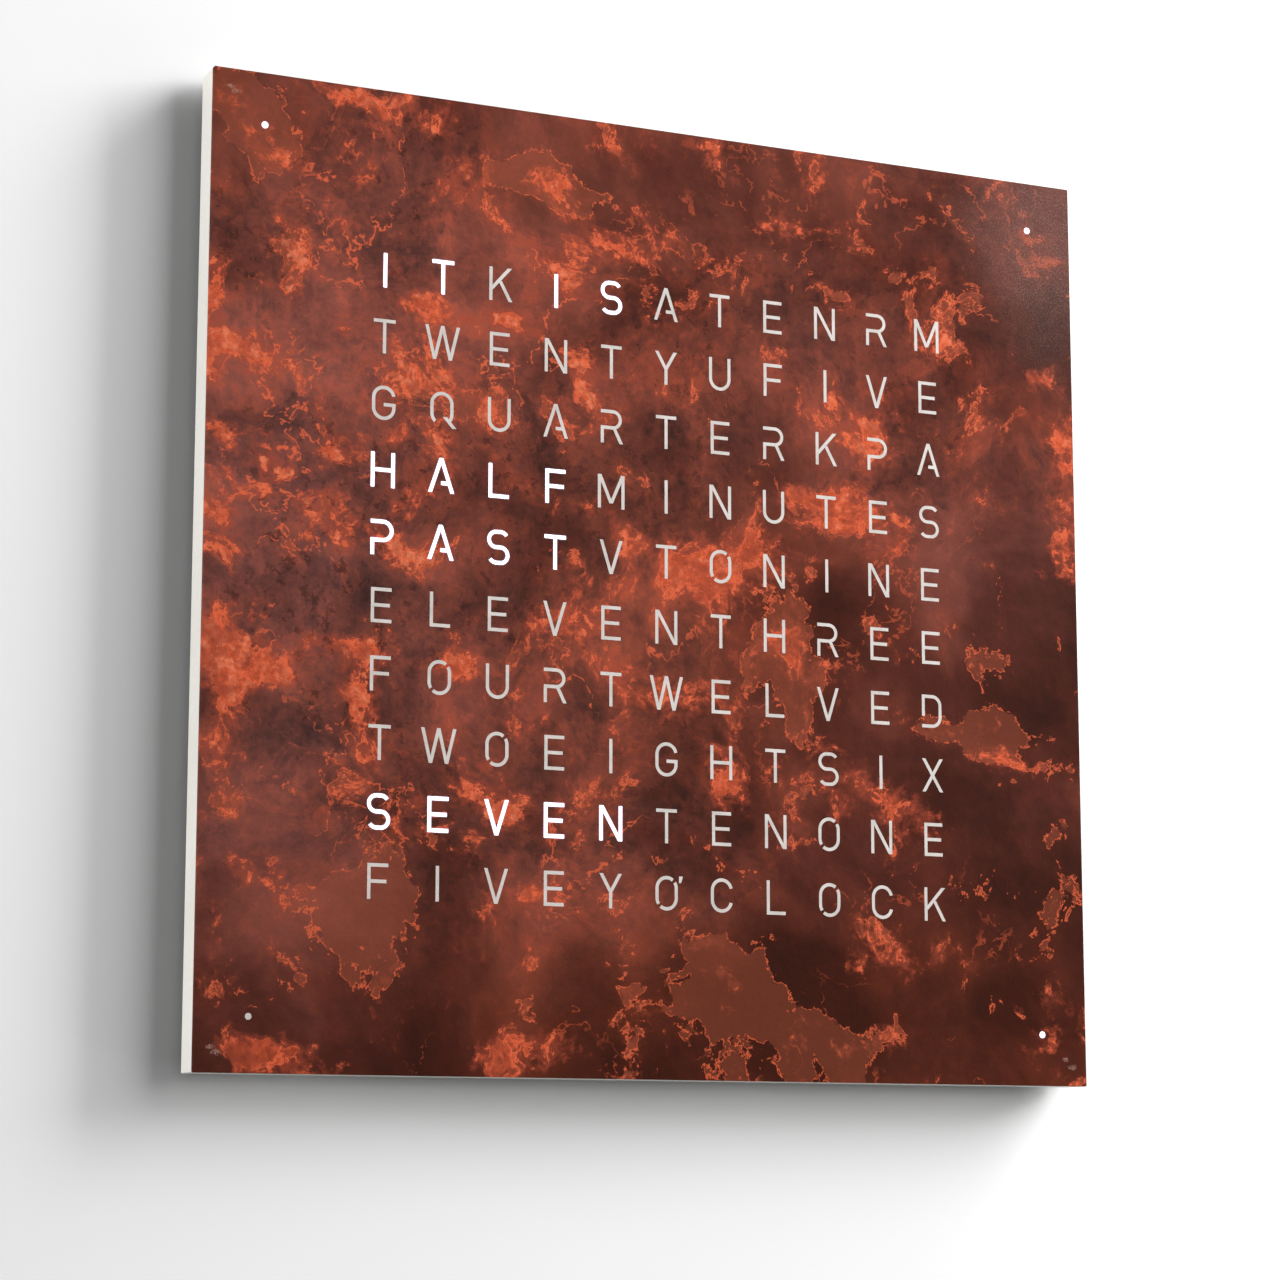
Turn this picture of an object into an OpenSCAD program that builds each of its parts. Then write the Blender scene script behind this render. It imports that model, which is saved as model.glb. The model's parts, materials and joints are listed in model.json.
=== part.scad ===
// Word clock for a wall: a rusted steel sheet with stencil-cut letters in front of a
// shallow white housing. Millimetres. X runs to the right, Y into the wall and Z up.
// The origin is the middle of the rear face, in the plane of the wall.

/* [Face] */
// Width and height of the square front cover
face_w = 450; // [440:5:560]
// Thickness of the front cover
cover_t = 2; // [1.5:0.5:3]
// Radius of the four upright outer edges
corner_r = 0.6; // [0.4:0.2:2]
// Distance between neighbouring letter columns
column_pitch = 28.35; // [27:0.05:29.5]
// Distance between neighbouring letter rows
row_pitch = 31.05; // [29:0.05:32]
// Diameter of a minute dot
dot_d = 3; // [2:0.5:5]
// Distance from the edges of the face to a minute dot
dot_inset = 24.4; // [23.6:0.2:26]

/* [Letters] */
// Height of a letter
letter_h = 16; // [14:0.5:18]
// Width of a round letter
letter_w = 11.4; // [10.6:0.2:13]
// Width of the cut that draws a letter
stroke = 1.6; // [1.2:0.1:2]
// Width of the bridges that hold the middle of a round letter
bridge_w = 1.5; // [1.1:0.1:2.2]

/* [Housing] */
// Thickness of the outer walls
wall_t = 3; // [2.5:0.25:4]
// Width of the front rim, from the outer edge to the diffuser's opening
rim_w = 17; // [16:0.5:19]
// Width of the rear lip, from the outer edge to the rear opening
lip_w = 31; // [29:1:35]
// Thickness of the rear lip
lip_t = 3; // [2.5:0.5:4]
// Diameter of a magnet
magnet_d = 10; // [8:0.5:10.5]
// Thickness of a magnet
magnet_t = 3; // [2:0.5:4]
// Distance of a magnet from the middle of its side
magnet_at = 150; // [145:5:170]
// Diameter of a locating stud on the cover
stud_d = 4.4; // [3:0.2:5]
// Length of a locating stud
stud_l = 5.5; // [4:0.5:6.5]
// Wall of the bush that a locating stud slides in
bush_t = 1.5; // [1:0.25:1.75]

/* [Light box] */
// Thickness of the diffuser sheet
diffuser_t = 2; // [1.5:0.5:3]
// Height of the light baffle
baffle_h = 6.4; // [5:0.2:8]
// Thickness of the walls between the cells
baffle_t = 1.2; // [0.8:0.2:2]
// Width of a light-emitting diode
led_w = 5; // [3:0.5:6]
// Height of a light-emitting diode
led_h = 1.6; // [1:0.2:2.2]
// Thickness of a circuit board
board_t = 1.6; // [1.2:0.2:2]
// Width of the LED boards' edge outside the baffle
board_margin = 9; // [8.5:0.5:10]
// Thickness of the chassis plate
chassis_t = 1.5; // [1.5:0.5:2.5]
// Width over the walls of a minute dot's light tube
tube_w = 10; // [8:0.5:11]

/* [Rear cover] */
// Depth of the rear cover behind the housing
pan_depth = 5; // [4.8:0.2:8]
// Thickness of the rear cover's sheet
pan_t = 1.5; // [1.2:0.1:2]
// Distance from the edge of the face to the rear cover's side wall
pan_inset = 25; // [24:1:27]
// Width of the rear cover's flange
flange_w = 12; // [10:1:14]
// Distance between the two keyholes
hanger_spacing = 300; // [260:10:320]
// Height of the keyholes above the middle
hanger_z = 150; // [100:5:155]
// Diameter of a keyhole's round end
keyhole_d = 9; // [8:0.5:11]
// Width of a keyhole's slot
keyhole_slot = 4.6; // [4:0.2:5]
// Rise of a keyhole's slot above its round end
keyhole_rise = 9; // [7:1:12]
// Thickness of a hanger plate
hanger_t = 2; // [1.5:0.5:2.5]

/* [Lead well] */
// Width of the well that the supply plug lies in
well_w = 38; // [30:2:44]
// Height of the well that the supply plug lies in
well_h = 66; // [56:2:72]
// Height of the well's upper end, below the middle
well_drop = 82; // [82:1:90]
// Width of the groove that the lead leaves by
groove_w = 9; // [6:1:14]
// Wall of the well
well_t = 1.5; // [1:0.25:2]
// Diameter of the supply socket's hole
socket_d = 4; // [3.6:0.2:4.4]

/* [Controls] */
// Diameter of a push button
button_d = 5; // [4:0.25:5.5]
// Travel of a push button
button_travel = 0.6; // [0.3:0.1:1]
// Distance between neighbouring push buttons
button_pitch = 14; // [12:0.5:15]
// Distance of the button row's middle to the right of the face's middle
button_x = 100; // [95:1:102]
// Distance of the light sensor to the right of the face's middle
sensor_x = 40; // [30:1:44]
// Diameter of the light sensor's window
window_d = 3; // [2:0.5:4]

/* [Control board] */
// Width of the control board
control_w = 120; // [116:2:140]
// Height of the control board
control_h = 80; // [76:2:90]
// Length of the posts under the control board
control_rise = 1.5; // [1:0.25:1.75]
// Diameter of the clock's backup cell
cell_d = 12.5; // [10:0.5:16]
// Thickness of the clock's backup cell
cell_t = 2; // [1.6:0.2:2.2]

/* [Clearances] */
// Gap between the cover and the housing
cover_gap = 0.3; // [0.2:0.05:0.6]
// Gap round the diffuser and the chassis plate in the housing
drop_gap = 0.3; // [0.2:0.1:0.6]
// Gap round a stud, a button or a plunger that slides
slide_gap = 0.3; // [0.2:0.05:0.4]
// Gap round a screw's thread, a pin or a magnet in its seat
seat_gap = 0.05; // [0.02:0.01:0.1]
// Gap round a screw where it only passes through
pass_gap = 0.2; // [0.1:0.05:0.3]

/* [Hidden] */
$fn = 48;

// The letter field. A small o is the letter O with its apostrophe.
letter_rows = [
    "ITKISATENRM",
    "TWENTYUFIVE",
    "GQUARTERKPA",
    "HALFMINUTES",
    "PASTVTONINE",
    "ELEVENTHREE",
    "FOURTWELVED",
    "TWOEIGHTSIX",
    "SEVENTENONE",
    "FIVEYoCLOCK"
];
rows = len(letter_rows);
columns = len(letter_rows[0]);
function column_x(c) = (c - (columns - 1) / 2) * column_pitch;
function row_z(r) = ((rows - 1) / 2 - r) * row_pitch;

// Planes square to Y, from the front to the wall
y_wall = 0;
y_housing_back = y_wall - pan_depth;
y_lip = y_housing_back - lip_t;
y_chassis = y_lip - chassis_t;
y_board = y_chassis - board_t;
y_baffle = y_board - baffle_h;
y_face = y_baffle - diffuser_t;
y_cover_back = y_face - cover_gap;
y_front = y_cover_back - cover_t;
y_pan_floor = y_wall - pan_t;
y_channel = (y_baffle + y_lip) / 2;
channel_h = y_lip - y_baffle;

// Distances from the middle to square edges
half = face_w / 2;
half_in = half - wall_t;
rim_in = half - rim_w;
lip_in = half - lip_w;
rim_mid = (half_in + rim_in) / 2;
insert_half = rim_in - drop_gap;
pan_half = half - pan_inset;
pan_screw_at = pan_half + flange_w / 2;
chassis_screw_at = (lip_in + insert_half) / 2;
dot_at = half - dot_inset;
baffle_half_x = columns * column_pitch / 2 + baffle_t / 2;
baffle_half_z = rows * row_pitch / 2 + baffle_t / 2;
board_half_x = baffle_half_x + board_margin;
board_half_z = baffle_half_z + board_margin;
tube_in = dot_at - tube_w / 2;
post_x = (board_half_x + tube_in) / 2;
post_z = (board_half_z + tube_in) / 2;

// Fasteners: shank radius, head radius and head height
m3_r = 1.5;
m3_head_r = 2.75;
m3_head_h = 1.8;
m25_r = 1.25;
m25_head_r = 2.4;
m25_head_h = 1.5;
m2_r = 1;
m2_head_r = 1.8;
m2_head_h = 1.2;
tip_gap = 0.4;
screw_at = [-140, -50, 50, 140];
chassis_screw_step = 70;
board_gap = 1;
board_screw_inset = board_margin / 2;
board_screw_share = [0.12, 0.5, 0.9];
board_screw_x = board_half_x - board_screw_inset + 0.6;

// Bosses and posts
magnet_boss_r = magnet_d / 2 + 1.5;
bush_r = stud_d / 2 + slide_gap + bush_t;
bush_l = stud_l + cover_gap;
stud_boss_r = bush_r + 1.8;
diffuser_post_r = 3.2;
diffuser_spigot_r = 2;

// Minute lights
minute_board_h = 12;
minute_board_w = 24;
minute_board_t = 1;
minute_led_w = 3;
minute_led_h = 1.2;
minute_board_in = dot_at + tube_w / 2 + 1 - minute_board_w;
minute_screw_x = minute_board_in + 4;
minute_lead_x = column_x(columns - 2) - column_pitch / 2;
lead_w = 2;

// Supply socket, well and lead groove
well_top = -well_drop;
well_bottom = well_top - well_h;
well_floor_t = 1;
well_floor = y_lip + 0.2;
well_flange_w = 6;
groove_floor_t = 1;
groove_floor = y_housing_back + 0.1;
socket_w = 7.6;
socket_l = 11;
socket_y = (well_floor + well_floor_t + y_pan_floor) / 2;
socket_h = y_pan_floor - well_floor - well_floor_t - 0.2;
socket_wing_w = 2;
socket_wing_t = 0.8;
supply_pin_r = 0.65;
supply_pin_l = 8;

// Control board, with its parts on the side towards the wall
y_control = y_lip + control_rise;
y_parts = y_control + board_t;
control_bottom = well_top + well_t + 0.5;
control_top = control_bottom + control_h;
control_mid = (control_bottom + control_top) / 2;
control_post_r = 2.4;
control_post_inset = 5;
connector_h = 2.5;
connector_l = 5;
ribbon_t = 0.6;
ribbon_w = 20;
ribbon_x = control_w / 2 - 20;
y_ribbon = y_parts + connector_h / 2;
ribbon_slot_z = -board_half_z - 5;
link_w = 4.4;
link_h = 14;
link_t = 2;

// Edge boards: four buttons in the lower edge and the light sensor in the upper edge
button_names = ["hours", "minutes", "brightness", "mode"];
function button_at(i) = button_x + (i - (len(button_names) - 1) / 2) * button_pitch;
button_recess = 0.2;
button_flange_t = 1;
button_flange_r = button_d / 2 + slide_gap + 0.6;
plunger_r = 1.5;
plunger_l = button_travel + 2.2;
plunger_reach = 1.1;
switch_w = 6;
switch_h = plunger_reach + button_travel + 1.6;
edge_board_w = channel_h - 2 * slide_gap;
edge_post_r = 2.4;
button_post_at = 1.5 * button_pitch + switch_w / 2 + edge_post_r + 2;
button_board_half = button_post_at + 3.5;
button_board_in = slide_gap + button_flange_t + plunger_l - plunger_reach + switch_h;
window_flange_t = 1;
window_l = wall_t + 6;
sensor_w = 2.4;
sensor_h = 0.8;
sensor_board_in = window_l - wall_t + 0.3 + sensor_h;
sensor_post_at = 8.5;
sensor_board_half = sensor_post_at + 3.5;
edge_connector_h = 2;
edge_lead_w = 6;
edge_lead_z = (board_half_z + lip_in) / 2;
y_edge_lead = y_chassis - 1.2;
button_lead_out = 27;
button_lead_drop = 10;
button_lead_x = control_w / 2 + button_lead_out;

// --- Helpers -----------------------------------------------------------

// A box between two corners
module block(x1, x2, y1, y2, z1, z2) {
    translate([x1, y1, z1]) cube([x2 - x1, y2 - y1, z2 - z1]);
}

// A flat outline in X and Z, made solid from y1 to y2
module plate(y1, y2) {
    translate([0, y2, 0]) rotate([90, 0, 0]) linear_extrude(y2 - y1) children();
}

// A round rod along Y
module rod(x, z, r, y1, y2) {
    translate([x, y1, z]) rotate([-90, 0, 0]) cylinder(r = r, h = y2 - y1);
}

// A square with its corners rounded, about the middle
module rounded_square(w, r) {
    square([w, w - 2 * r], center = true);
    square([w - 2 * r, w], center = true);
    for (x = [-1, 1], z = [-1, 1]) translate([x * (w / 2 - r), z * (w / 2 - r)]) circle(r);
}

// Copies at the four corners of a square or rectangle
module at_corners(x, z) {
    for (i = [-1, 1], k = [-1, 1]) translate([i * x, 0, k * z]) children();
}

// Copies along all four sides, at a distance from the middle
module along_sides(distance, steps) {
    for (turn = [0:3], step = steps) rotate([0, 90 * turn, 0]) translate([step, 0, distance]) children();
}

// Copies at the corners and the middles of a rectangle's sides
module round_rim(x, z) {
    for (i = [-1:1], k = [-1:1]) if (i != 0 || k != 0) translate([i * x, 0, k * z]) children();
}

// A screw along Y with its head's seat at y = 0 and its head towards -Y
module pan_screw(r, head_r, head_h, l) {
    rod(0, 0, head_r, -head_h, 0);
    rod(0, 0, r, 0, l);
}

// A countersunk screw along Y with its head's face at y = 0 and its point towards +Y
module flat_screw(r, head_r, l) {
    rotate([-90, 0, 0]) cylinder(r1 = head_r, r2 = r, h = head_r - r);
    rod(0, 0, r, head_r - r, l);
}

// The seat that a countersunk screw needs in a sheet
module flat_seat(r, head_r, t) {
    rotate([-90, 0, 0]) cylinder(r1 = head_r + seat_gap, r2 = r + seat_gap, h = head_r - r);
    rod(0, 0, r + seat_gap, -1, t + 1);
}

// --- Lettering: strokes with cut ends, open where a closed form needs a bridge ---

// An upright stroke
module post(x, z1, z2) {
    translate([x - stroke / 2, z1]) square([stroke, z2 - z1]);
}

// A level stroke
module rail(z, x1, x2) {
    translate([x1, z - stroke / 2]) square([x2 - x1, stroke]);
}

// A leaning stroke whose ends are cut level
module leg(x1, z1, x2, z2) {
    k = stroke / 2 * norm([x2 - x1, z2 - z1]) / abs(z2 - z1);
    polygon([[x1 - k, z1], [x1 + k, z1], [x2 + k, z2], [x2 - k, z2]]);
}

// A bent stroke of radius r round a centre, from angle a1 to angle a2, at most half a turn
module bend(x, z, r, a1, a2) {
    far = 2 * r;
    mid = (a1 + a2) / 2;
    translate([x, z]) intersection() {
        difference() {
            circle(r + stroke / 2);
            circle(r - stroke / 2);
        }
        polygon([
            [0, 0],
            [far * cos(a1), far * sin(a1)],
            [1.4 * far * cos(mid), 1.4 * far * sin(mid)],
            [far * cos(a2), far * sin(a2)]
        ]);
    }
}

// Half height and half width of a letter, and the radius of its round ends
lh = letter_h / 2;
lw = letter_w / 2;
lr = lw - stroke / 2;
arc_z = lh - stroke / 2 - lr;
bridge_a = bridge_w / lr * 90 / PI;

module glyph_o() {
    bend(0, arc_z, lr, 42 + bridge_a, 180);
    post(-lr, -arc_z, arc_z);
    bend(0, -arc_z, lr, 180, 222 - bridge_a);
    bend(0, -arc_z, lr, 222 + bridge_a, 360);
    post(lr, -arc_z, arc_z);
    bend(0, arc_z, lr, 0, 42 - bridge_a);
}

module glyph_c() {
    bend(0, arc_z, lr, 12, 180);
    post(-lr, -arc_z, arc_z);
    bend(0, -arc_z, lr, 180, 348);
}

module glyph_p(mid, w) {
    r = (lh - stroke / 2 - mid) / 2;
    rail(lh - stroke / 2, -w, w - stroke / 2 - r);
    bend(w - stroke / 2 - r, mid + r, r, -90, 90);
    rail(mid, -w, w - stroke / 2 - r);
    post(-w + stroke / 2, -lh, mid + stroke / 2);
}

module glyph_s() {
    r = (lh - stroke / 2) / 2;
    x = 0.95 * lw - stroke / 2 - r;
    for (turn = [0, 180]) rotate(turn) {
        bend(-x, r, r, 90, 270);
        rail(2 * r, -x, x);
        bend(x, r, r, 35, 90);
    }
    rail(0, -x, x);
}

module glyph(c) {
    e = 0.87 * lw;
    s = stroke / 2;
    if (c == "A") {
        leg(-0.95 * lw, -lh, 0, lh);
        leg(0.95 * lw, -lh, 0, lh);
        rail(-0.45 * lh, 0, 0.66 * lw);
    }
    if (c == "C") glyph_c();
    if (c == "D") {
        r = 0.78 * lw;
        post(-0.95 * lw + s, -0.3 * lh, lh);
        rail(lh - s, -0.95 * lw, 0.95 * lw - s - r);
        bend(0.95 * lw - s - r, lh - s - r, r, 0, 90);
        post(0.95 * lw - s, -lh + s + r, lh - s - r);
        bend(0.95 * lw - s - r, -lh + s + r, r, 270, 360);
        rail(-lh + s, -0.95 * lw, 0.95 * lw - s - r);
    }
    if (c == "E" || c == "F" || c == "L") post(-e + s, -lh, lh);
    if (c == "E" || c == "F") {
        rail(lh - s, -e, e);
        rail(0, -e, e - s);
    }
    if (c == "E" || c == "L") rail(-lh + s, -e, e);
    if (c == "G") {
        bend(0, arc_z, lr, 12, 180);
        post(-lr, -arc_z, arc_z);
        bend(0, -arc_z, lr, 180, 360);
        post(lr, -arc_z, 0);
        rail(-s, 0, lw);
    }
    if (c == "H") {
        post(-lw + s, -lh, lh);
        post(lw - s, -lh, lh);
        rail(0, -lw, lw);
    }
    if (c == "I") post(0, -lh, lh);
    if (c == "K") {
        post(-0.95 * lw + s, -lh, lh);
        leg(-0.8 * lw, -0.34 * lh, 0.86 * lw, lh);
        leg(0, 0.2 * lh, 0.92 * lw, -lh);
    }
    if (c == "M") {
        post(-1.2 * lw + s, -lh, lh);
        post(1.2 * lw - s, -lh, lh);
        for (i = [-1, 1]) leg(i * (1.2 * lw - 1.2 * s), lh, 0, -0.7 * lh);
    }
    if (c == "N") {
        post(-lw + s, -lh, lh);
        post(lw - s, -lh, lh);
        leg(-lw + 1.3 * s, lh, lw - 1.3 * s, -lh);
    }
    if (c == "O" || c == "o") glyph_o();
    if (c == "o") polygon([[1.12 * lw, lh], [1.46 * lw, lh], [1.3 * lw, 0.62 * lh], [1.1 * lw, 0.62 * lh]]);
    if (c == "P") glyph_p(-0.16 * lh, 0.95 * lw);
    if (c == "Q") {
        bend(0, arc_z, lr, 0, 180);
        post(-lr, -arc_z, arc_z);
        bend(0, -arc_z, lr, 180, 228);
        post(lr, -arc_z, arc_z);
        bend(0, -arc_z, lr, 315, 360);
        leg(0.26 * lw, -0.46 * lh, 1.08 * lw, -lh - s);
    }
    if (c == "R") {
        glyph_p(-0.07 * lh, 0.95 * lw);
        leg(0.25 * lw, -0.07 * lh, 0.9 * lw, -lh);
    }
    if (c == "S") glyph_s();
    if (c == "T") {
        rail(lh - s, -0.93 * lw, 0.93 * lw);
        post(0, -lh, lh);
    }
    if (c == "U") {
        post(-lr, -arc_z, lh);
        bend(0, -arc_z, lr, 180, 360);
        post(lr, -arc_z, lh);
    }
    if (c == "V") for (i = [-1, 1]) leg(i * 0.88 * lw, lh, 0, -lh);
    if (c == "W") for (i = [-1, 1]) {
        leg(i * 1.36 * lw, lh, i * 0.68 * lw, -lh);
        leg(0, lh, i * 0.68 * lw, -lh);
    }
    if (c == "X") for (i = [-1, 1]) leg(i * 0.84 * lw, -lh, -i * 0.84 * lw, lh);
    if (c == "Y") {
        for (i = [-1, 1]) leg(i * 0.84 * lw, lh, i * 0.1 * s, -0.5 * s);
        post(0, -lh, s);
    }
}

module letters() {
    for (r = [0:rows - 1], c = [0:columns - 1])
        translate([column_x(c), row_z(r)]) glyph(letter_rows[r][c]);
}

// --- Front cover ---------------------------------------------------------

// Everything that is cut through the cover
module cuts() {
    letters();
    for (i = [-1, 1], k = [-1, 1]) translate([i * dot_at, k * dot_at]) circle(dot_d / 2);
}

module front_cover() {
    color([0.42, 0.16, 0.1]) plate(y_front, y_cover_back) difference() {
        rounded_square(face_w, corner_r);
        cuts();
    }
}

// Opal resin cast into the cuts, flush with the cover's face
module letter_inlays() {
    color([0.8, 0.8, 0.78]) plate(y_front, y_cover_back) cuts();
}

module cover_studs() {
    color("silver") at_corners(rim_mid, rim_mid) rod(0, 0, stud_d / 2, y_cover_back, y_cover_back + stud_l);
}

// --- Housing ---------------------------------------------------------------

// A post on the inside of an edge wall that an edge board is screwed to.
// The edge is the upper one for side = 1 and the lower one for side = -1.
module edge_post(x, side, rise) {
    z = side * half_in;
    translate([x, y_channel, min(z, z - side * rise)]) cylinder(r = edge_post_r, h = rise);
}

module edge_hole(x, side, r, depth) {
    z = side * (half + 1);
    translate([x, y_channel, min(z, z - side * depth)]) cylinder(r = r, h = depth);
}

// The thread hole of an edge post, which stops inside the wall
module edge_pilot(x, side, rise) {
    z = side * (half_in + wall_t / 3);
    l = rise + wall_t / 3 + 1;
    translate([x, y_channel, min(z, z - side * l)]) cylinder(r = m2_r + seat_gap, h = l);
}

module housing() {
    color([0.9, 0.89, 0.86]) difference() {
        union() {
            plate(y_face, y_housing_back) difference() {
                rounded_square(face_w, corner_r);
                square(2 * half_in, center = true);
            }
            plate(y_face, y_baffle) difference() {
                square(2 * half_in + 1, center = true);
                square(2 * rim_in, center = true);
            }
            plate(y_lip, y_housing_back) difference() {
                square(2 * half_in + 1, center = true);
                square(2 * lip_in, center = true);
            }
            along_sides(rim_mid, [-magnet_at, magnet_at]) rod(0, 0, magnet_boss_r, y_baffle - 0.5, y_lip + 0.5);
            at_corners(rim_mid, rim_mid) rod(0, 0, stud_boss_r, y_baffle - 0.5, y_lip + 0.5);
            for (i = [-1, 1]) edge_post(button_x + i * button_post_at, -1, button_board_in);
            for (i = [-1, 1]) edge_post(sensor_x + i * sensor_post_at, 1, sensor_board_in);
        }
        along_sides(rim_mid, [-magnet_at, magnet_at])
            rod(0, 0, magnet_d / 2 + seat_gap, y_face - 1, y_face + magnet_t);
        at_corners(rim_mid, rim_mid) rod(0, 0, bush_r + seat_gap, y_face - 1, y_face + bush_l);
        along_sides(pan_screw_at, screw_at) rod(0, 0, m3_r + seat_gap, y_lip - 1, y_housing_back + 1);
        along_sides(chassis_screw_at, [-chassis_screw_step, chassis_screw_step])
            rod(0, 0, m3_r + seat_gap, y_lip - 1, y_housing_back + 1);
        for (i = [0:3]) edge_hole(button_at(i), -1, button_d / 2 + slide_gap, wall_t + 2);
        for (i = [-1, 1]) edge_pilot(button_x + i * button_post_at, -1, button_board_in);
        edge_hole(sensor_x, 1, window_d / 2 + seat_gap, wall_t + 2);
        for (i = [-1, 1]) edge_pilot(sensor_x + i * sensor_post_at, 1, sensor_board_in);
    }
}

module stud_bushes() {
    color([0.2, 0.2, 0.2]) at_corners(rim_mid, rim_mid) difference() {
        rod(0, 0, bush_r, y_face, y_face + bush_l);
        rod(0, 0, stud_d / 2 + slide_gap, y_face - 1, y_face + bush_l + 1);
    }
}

module magnets() {
    color([0.75, 0.75, 0.78])
        along_sides(rim_mid, [-magnet_at, magnet_at]) rod(0, 0, magnet_d / 2, y_face, y_face + magnet_t);
}

// --- Light box -------------------------------------------------------------

module diffuser() {
    color([0.95, 0.95, 0.93]) difference() {
        plate(y_face, y_baffle) square(2 * insert_half, center = true);
        round_rim(post_x, post_z) translate([0, y_face, 0]) flat_seat(m3_r, m3_head_r, diffuser_t);
    }
}

module diffuser_posts() {
    color("silver") round_rim(post_x, post_z) difference() {
        union() {
            translate([0, y_baffle, 0]) rotate([-90, 0, 0])
                cylinder(r = diffuser_post_r, h = y_chassis - y_baffle, $fn = 6);
            rod(0, 0, diffuser_spigot_r, y_chassis - 0.5, y_lip);
        }
        rod(0, 0, m3_r + seat_gap, y_baffle - 1, y_chassis - 0.6);
    }
}

module diffuser_screws() {
    color("silver") round_rim(post_x, post_z) translate([0, y_face, 0])
        flat_screw(m3_r, m3_head_r, diffuser_t + y_chassis - y_baffle - 1.5);
}

module baffle_grid() {
    color([0.12, 0.12, 0.12]) plate(y_baffle, y_board) difference() {
        square([2 * baffle_half_x, 2 * baffle_half_z], center = true);
        for (r = [0:rows - 1], c = [0:columns - 1]) translate([column_x(c), row_z(r)])
            square([column_pitch - baffle_t, row_pitch - baffle_t], center = true);
    }
}

module minute_tubes() {
    color([0.12, 0.12, 0.12]) at_corners(dot_at, dot_at)
        plate(y_baffle, y_chassis - minute_board_t) difference() {
            square(tube_w, center = true);
            square(tube_w - 2 * baffle_t, center = true);
        }
}

// One of the two LED boards: the upper one for side = 1, the lower one for side = -1
module led_board(side) {
    z1 = board_gap / 2;
    color([0.93, 0.93, 0.9]) plate(y_board, y_chassis) difference() {
        translate([-board_half_x, side > 0 ? z1 : -board_half_z]) square([2 * board_half_x, board_half_z - z1]);
        for (i = [-1, 1], t = board_screw_share)
            translate([i * board_screw_x, side * t * board_half_z]) circle(m25_r + pass_gap);
    }
}

module led_board_link() {
    color([0.9, 0.9, 0.85]) for (i = [-1, 1]) {
        x = i * board_screw_x;
        block(x - link_w / 2, x + link_w / 2, y_board - link_t, y_board, -link_h / 2, link_h / 2);
    }
}

module led_board_screws() {
    color("silver") for (i = [-1, 1], k = [-1, 1], t = board_screw_share)
        translate([i * board_screw_x, y_board, k * t * board_half_z])
            pan_screw(m25_r, m25_head_r, m25_head_h, board_t + chassis_t);
}

module letter_leds() {
    color([0.95, 0.9, 0.6]) for (r = [0:rows - 1], c = [0:columns - 1])
        translate([column_x(c), 0, row_z(r)])
            block(-led_w / 2, led_w / 2, y_board - led_h, y_board, -led_w / 2, led_w / 2);
}

// Copies for the four minute lights, mirrored so that the inner end points to the middle
module at_minutes() {
    for (i = [0, 1], k = [0, 1]) mirror([i, 0, 0]) mirror([0, 0, k]) children();
}

module minute_boards() {
    color([0.93, 0.93, 0.9]) at_minutes() plate(y_chassis - minute_board_t, y_chassis) difference() {
        translate([minute_board_in, dot_at - minute_board_h / 2]) square([minute_board_w, minute_board_h]);
        translate([minute_screw_x, dot_at]) circle(m25_r + pass_gap);
    }
}

module minute_board_screws() {
    color("silver") at_minutes() translate([minute_screw_x, y_chassis - minute_board_t, dot_at])
        pan_screw(m25_r, m25_head_r, m25_head_h, minute_board_t + chassis_t);
}

module minute_leds() {
    y = y_chassis - minute_board_t;
    w = minute_led_w / 2;
    color([0.95, 0.9, 0.6]) at_corners(dot_at, dot_at) block(-w, w, y - minute_led_h, y, -w, w);
}

// A flat pair of wires from each minute board to the edge of the nearest LED board
module minute_leads() {
    y = y_chassis - minute_board_t;
    z = dot_at - minute_board_h / 4;
    color([0.8, 0.1, 0.1]) at_minutes() union() {
        block(minute_lead_x, minute_board_in, y, y_chassis, z - lead_w, z);
        block(minute_lead_x, minute_lead_x + lead_w, y, y_chassis, board_half_z, z);
    }
}

// --- Chassis plate -----------------------------------------------------------

module chassis_plate() {
    slot = 1.5;
    color([0.72, 0.74, 0.76]) plate(y_chassis, y_lip) difference() {
        square(2 * insert_half, center = true);
        for (turn = [0:3], step = [-chassis_screw_step, chassis_screw_step])
            rotate(90 * turn) translate([step, chassis_screw_at]) circle(m3_r + pass_gap);
        for (i = [-1:1], k = [-1:1]) if (i != 0 || k != 0)
            translate([i * post_x, k * post_z]) circle(diffuser_spigot_r + seat_gap);
        for (i = [-1, 1], k = [-1, 1], t = board_screw_share)
            translate([i * board_screw_x, k * t * board_half_z]) circle(m25_r + seat_gap);
        for (i = [-1, 1], k = [-1, 1]) translate([i * minute_screw_x, k * dot_at]) circle(m25_r + seat_gap);
        control_corners() circle(m25_r + seat_gap);
        translate([ribbon_x - ribbon_w / 2 - slot, ribbon_slot_z - slot])
            square([ribbon_w + 2 * slot, ribbon_t + 2 * slot]);
        for (lead = [[button_lead_x, -1], [sensor_x, 1]])
            translate([lead[0], lead[1] * edge_lead_z])
                square([edge_lead_w + 2 * slot, ribbon_t + 2 * slot], center = true);
    }
}

module chassis_screws() {
    color("silver") along_sides(chassis_screw_at, [-chassis_screw_step, chassis_screw_step])
        translate([0, y_chassis, 0]) pan_screw(m3_r, m3_head_r, m3_head_h, chassis_t + lip_t - tip_gap);
}

// --- Rear cover ----------------------------------------------------------------

module well_outline(grow) {
    w = well_w / 2 + well_t + grow;
    translate([-w, well_bottom - well_t - grow]) square([2 * w, well_h + 2 * (well_t + grow)]);
}

module groove_outline(grow) {
    w = groove_w / 2 + well_t + grow;
    translate([-w, -pan_half - 1]) square([2 * w, pan_half + 1 + well_bottom]);
}

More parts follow.
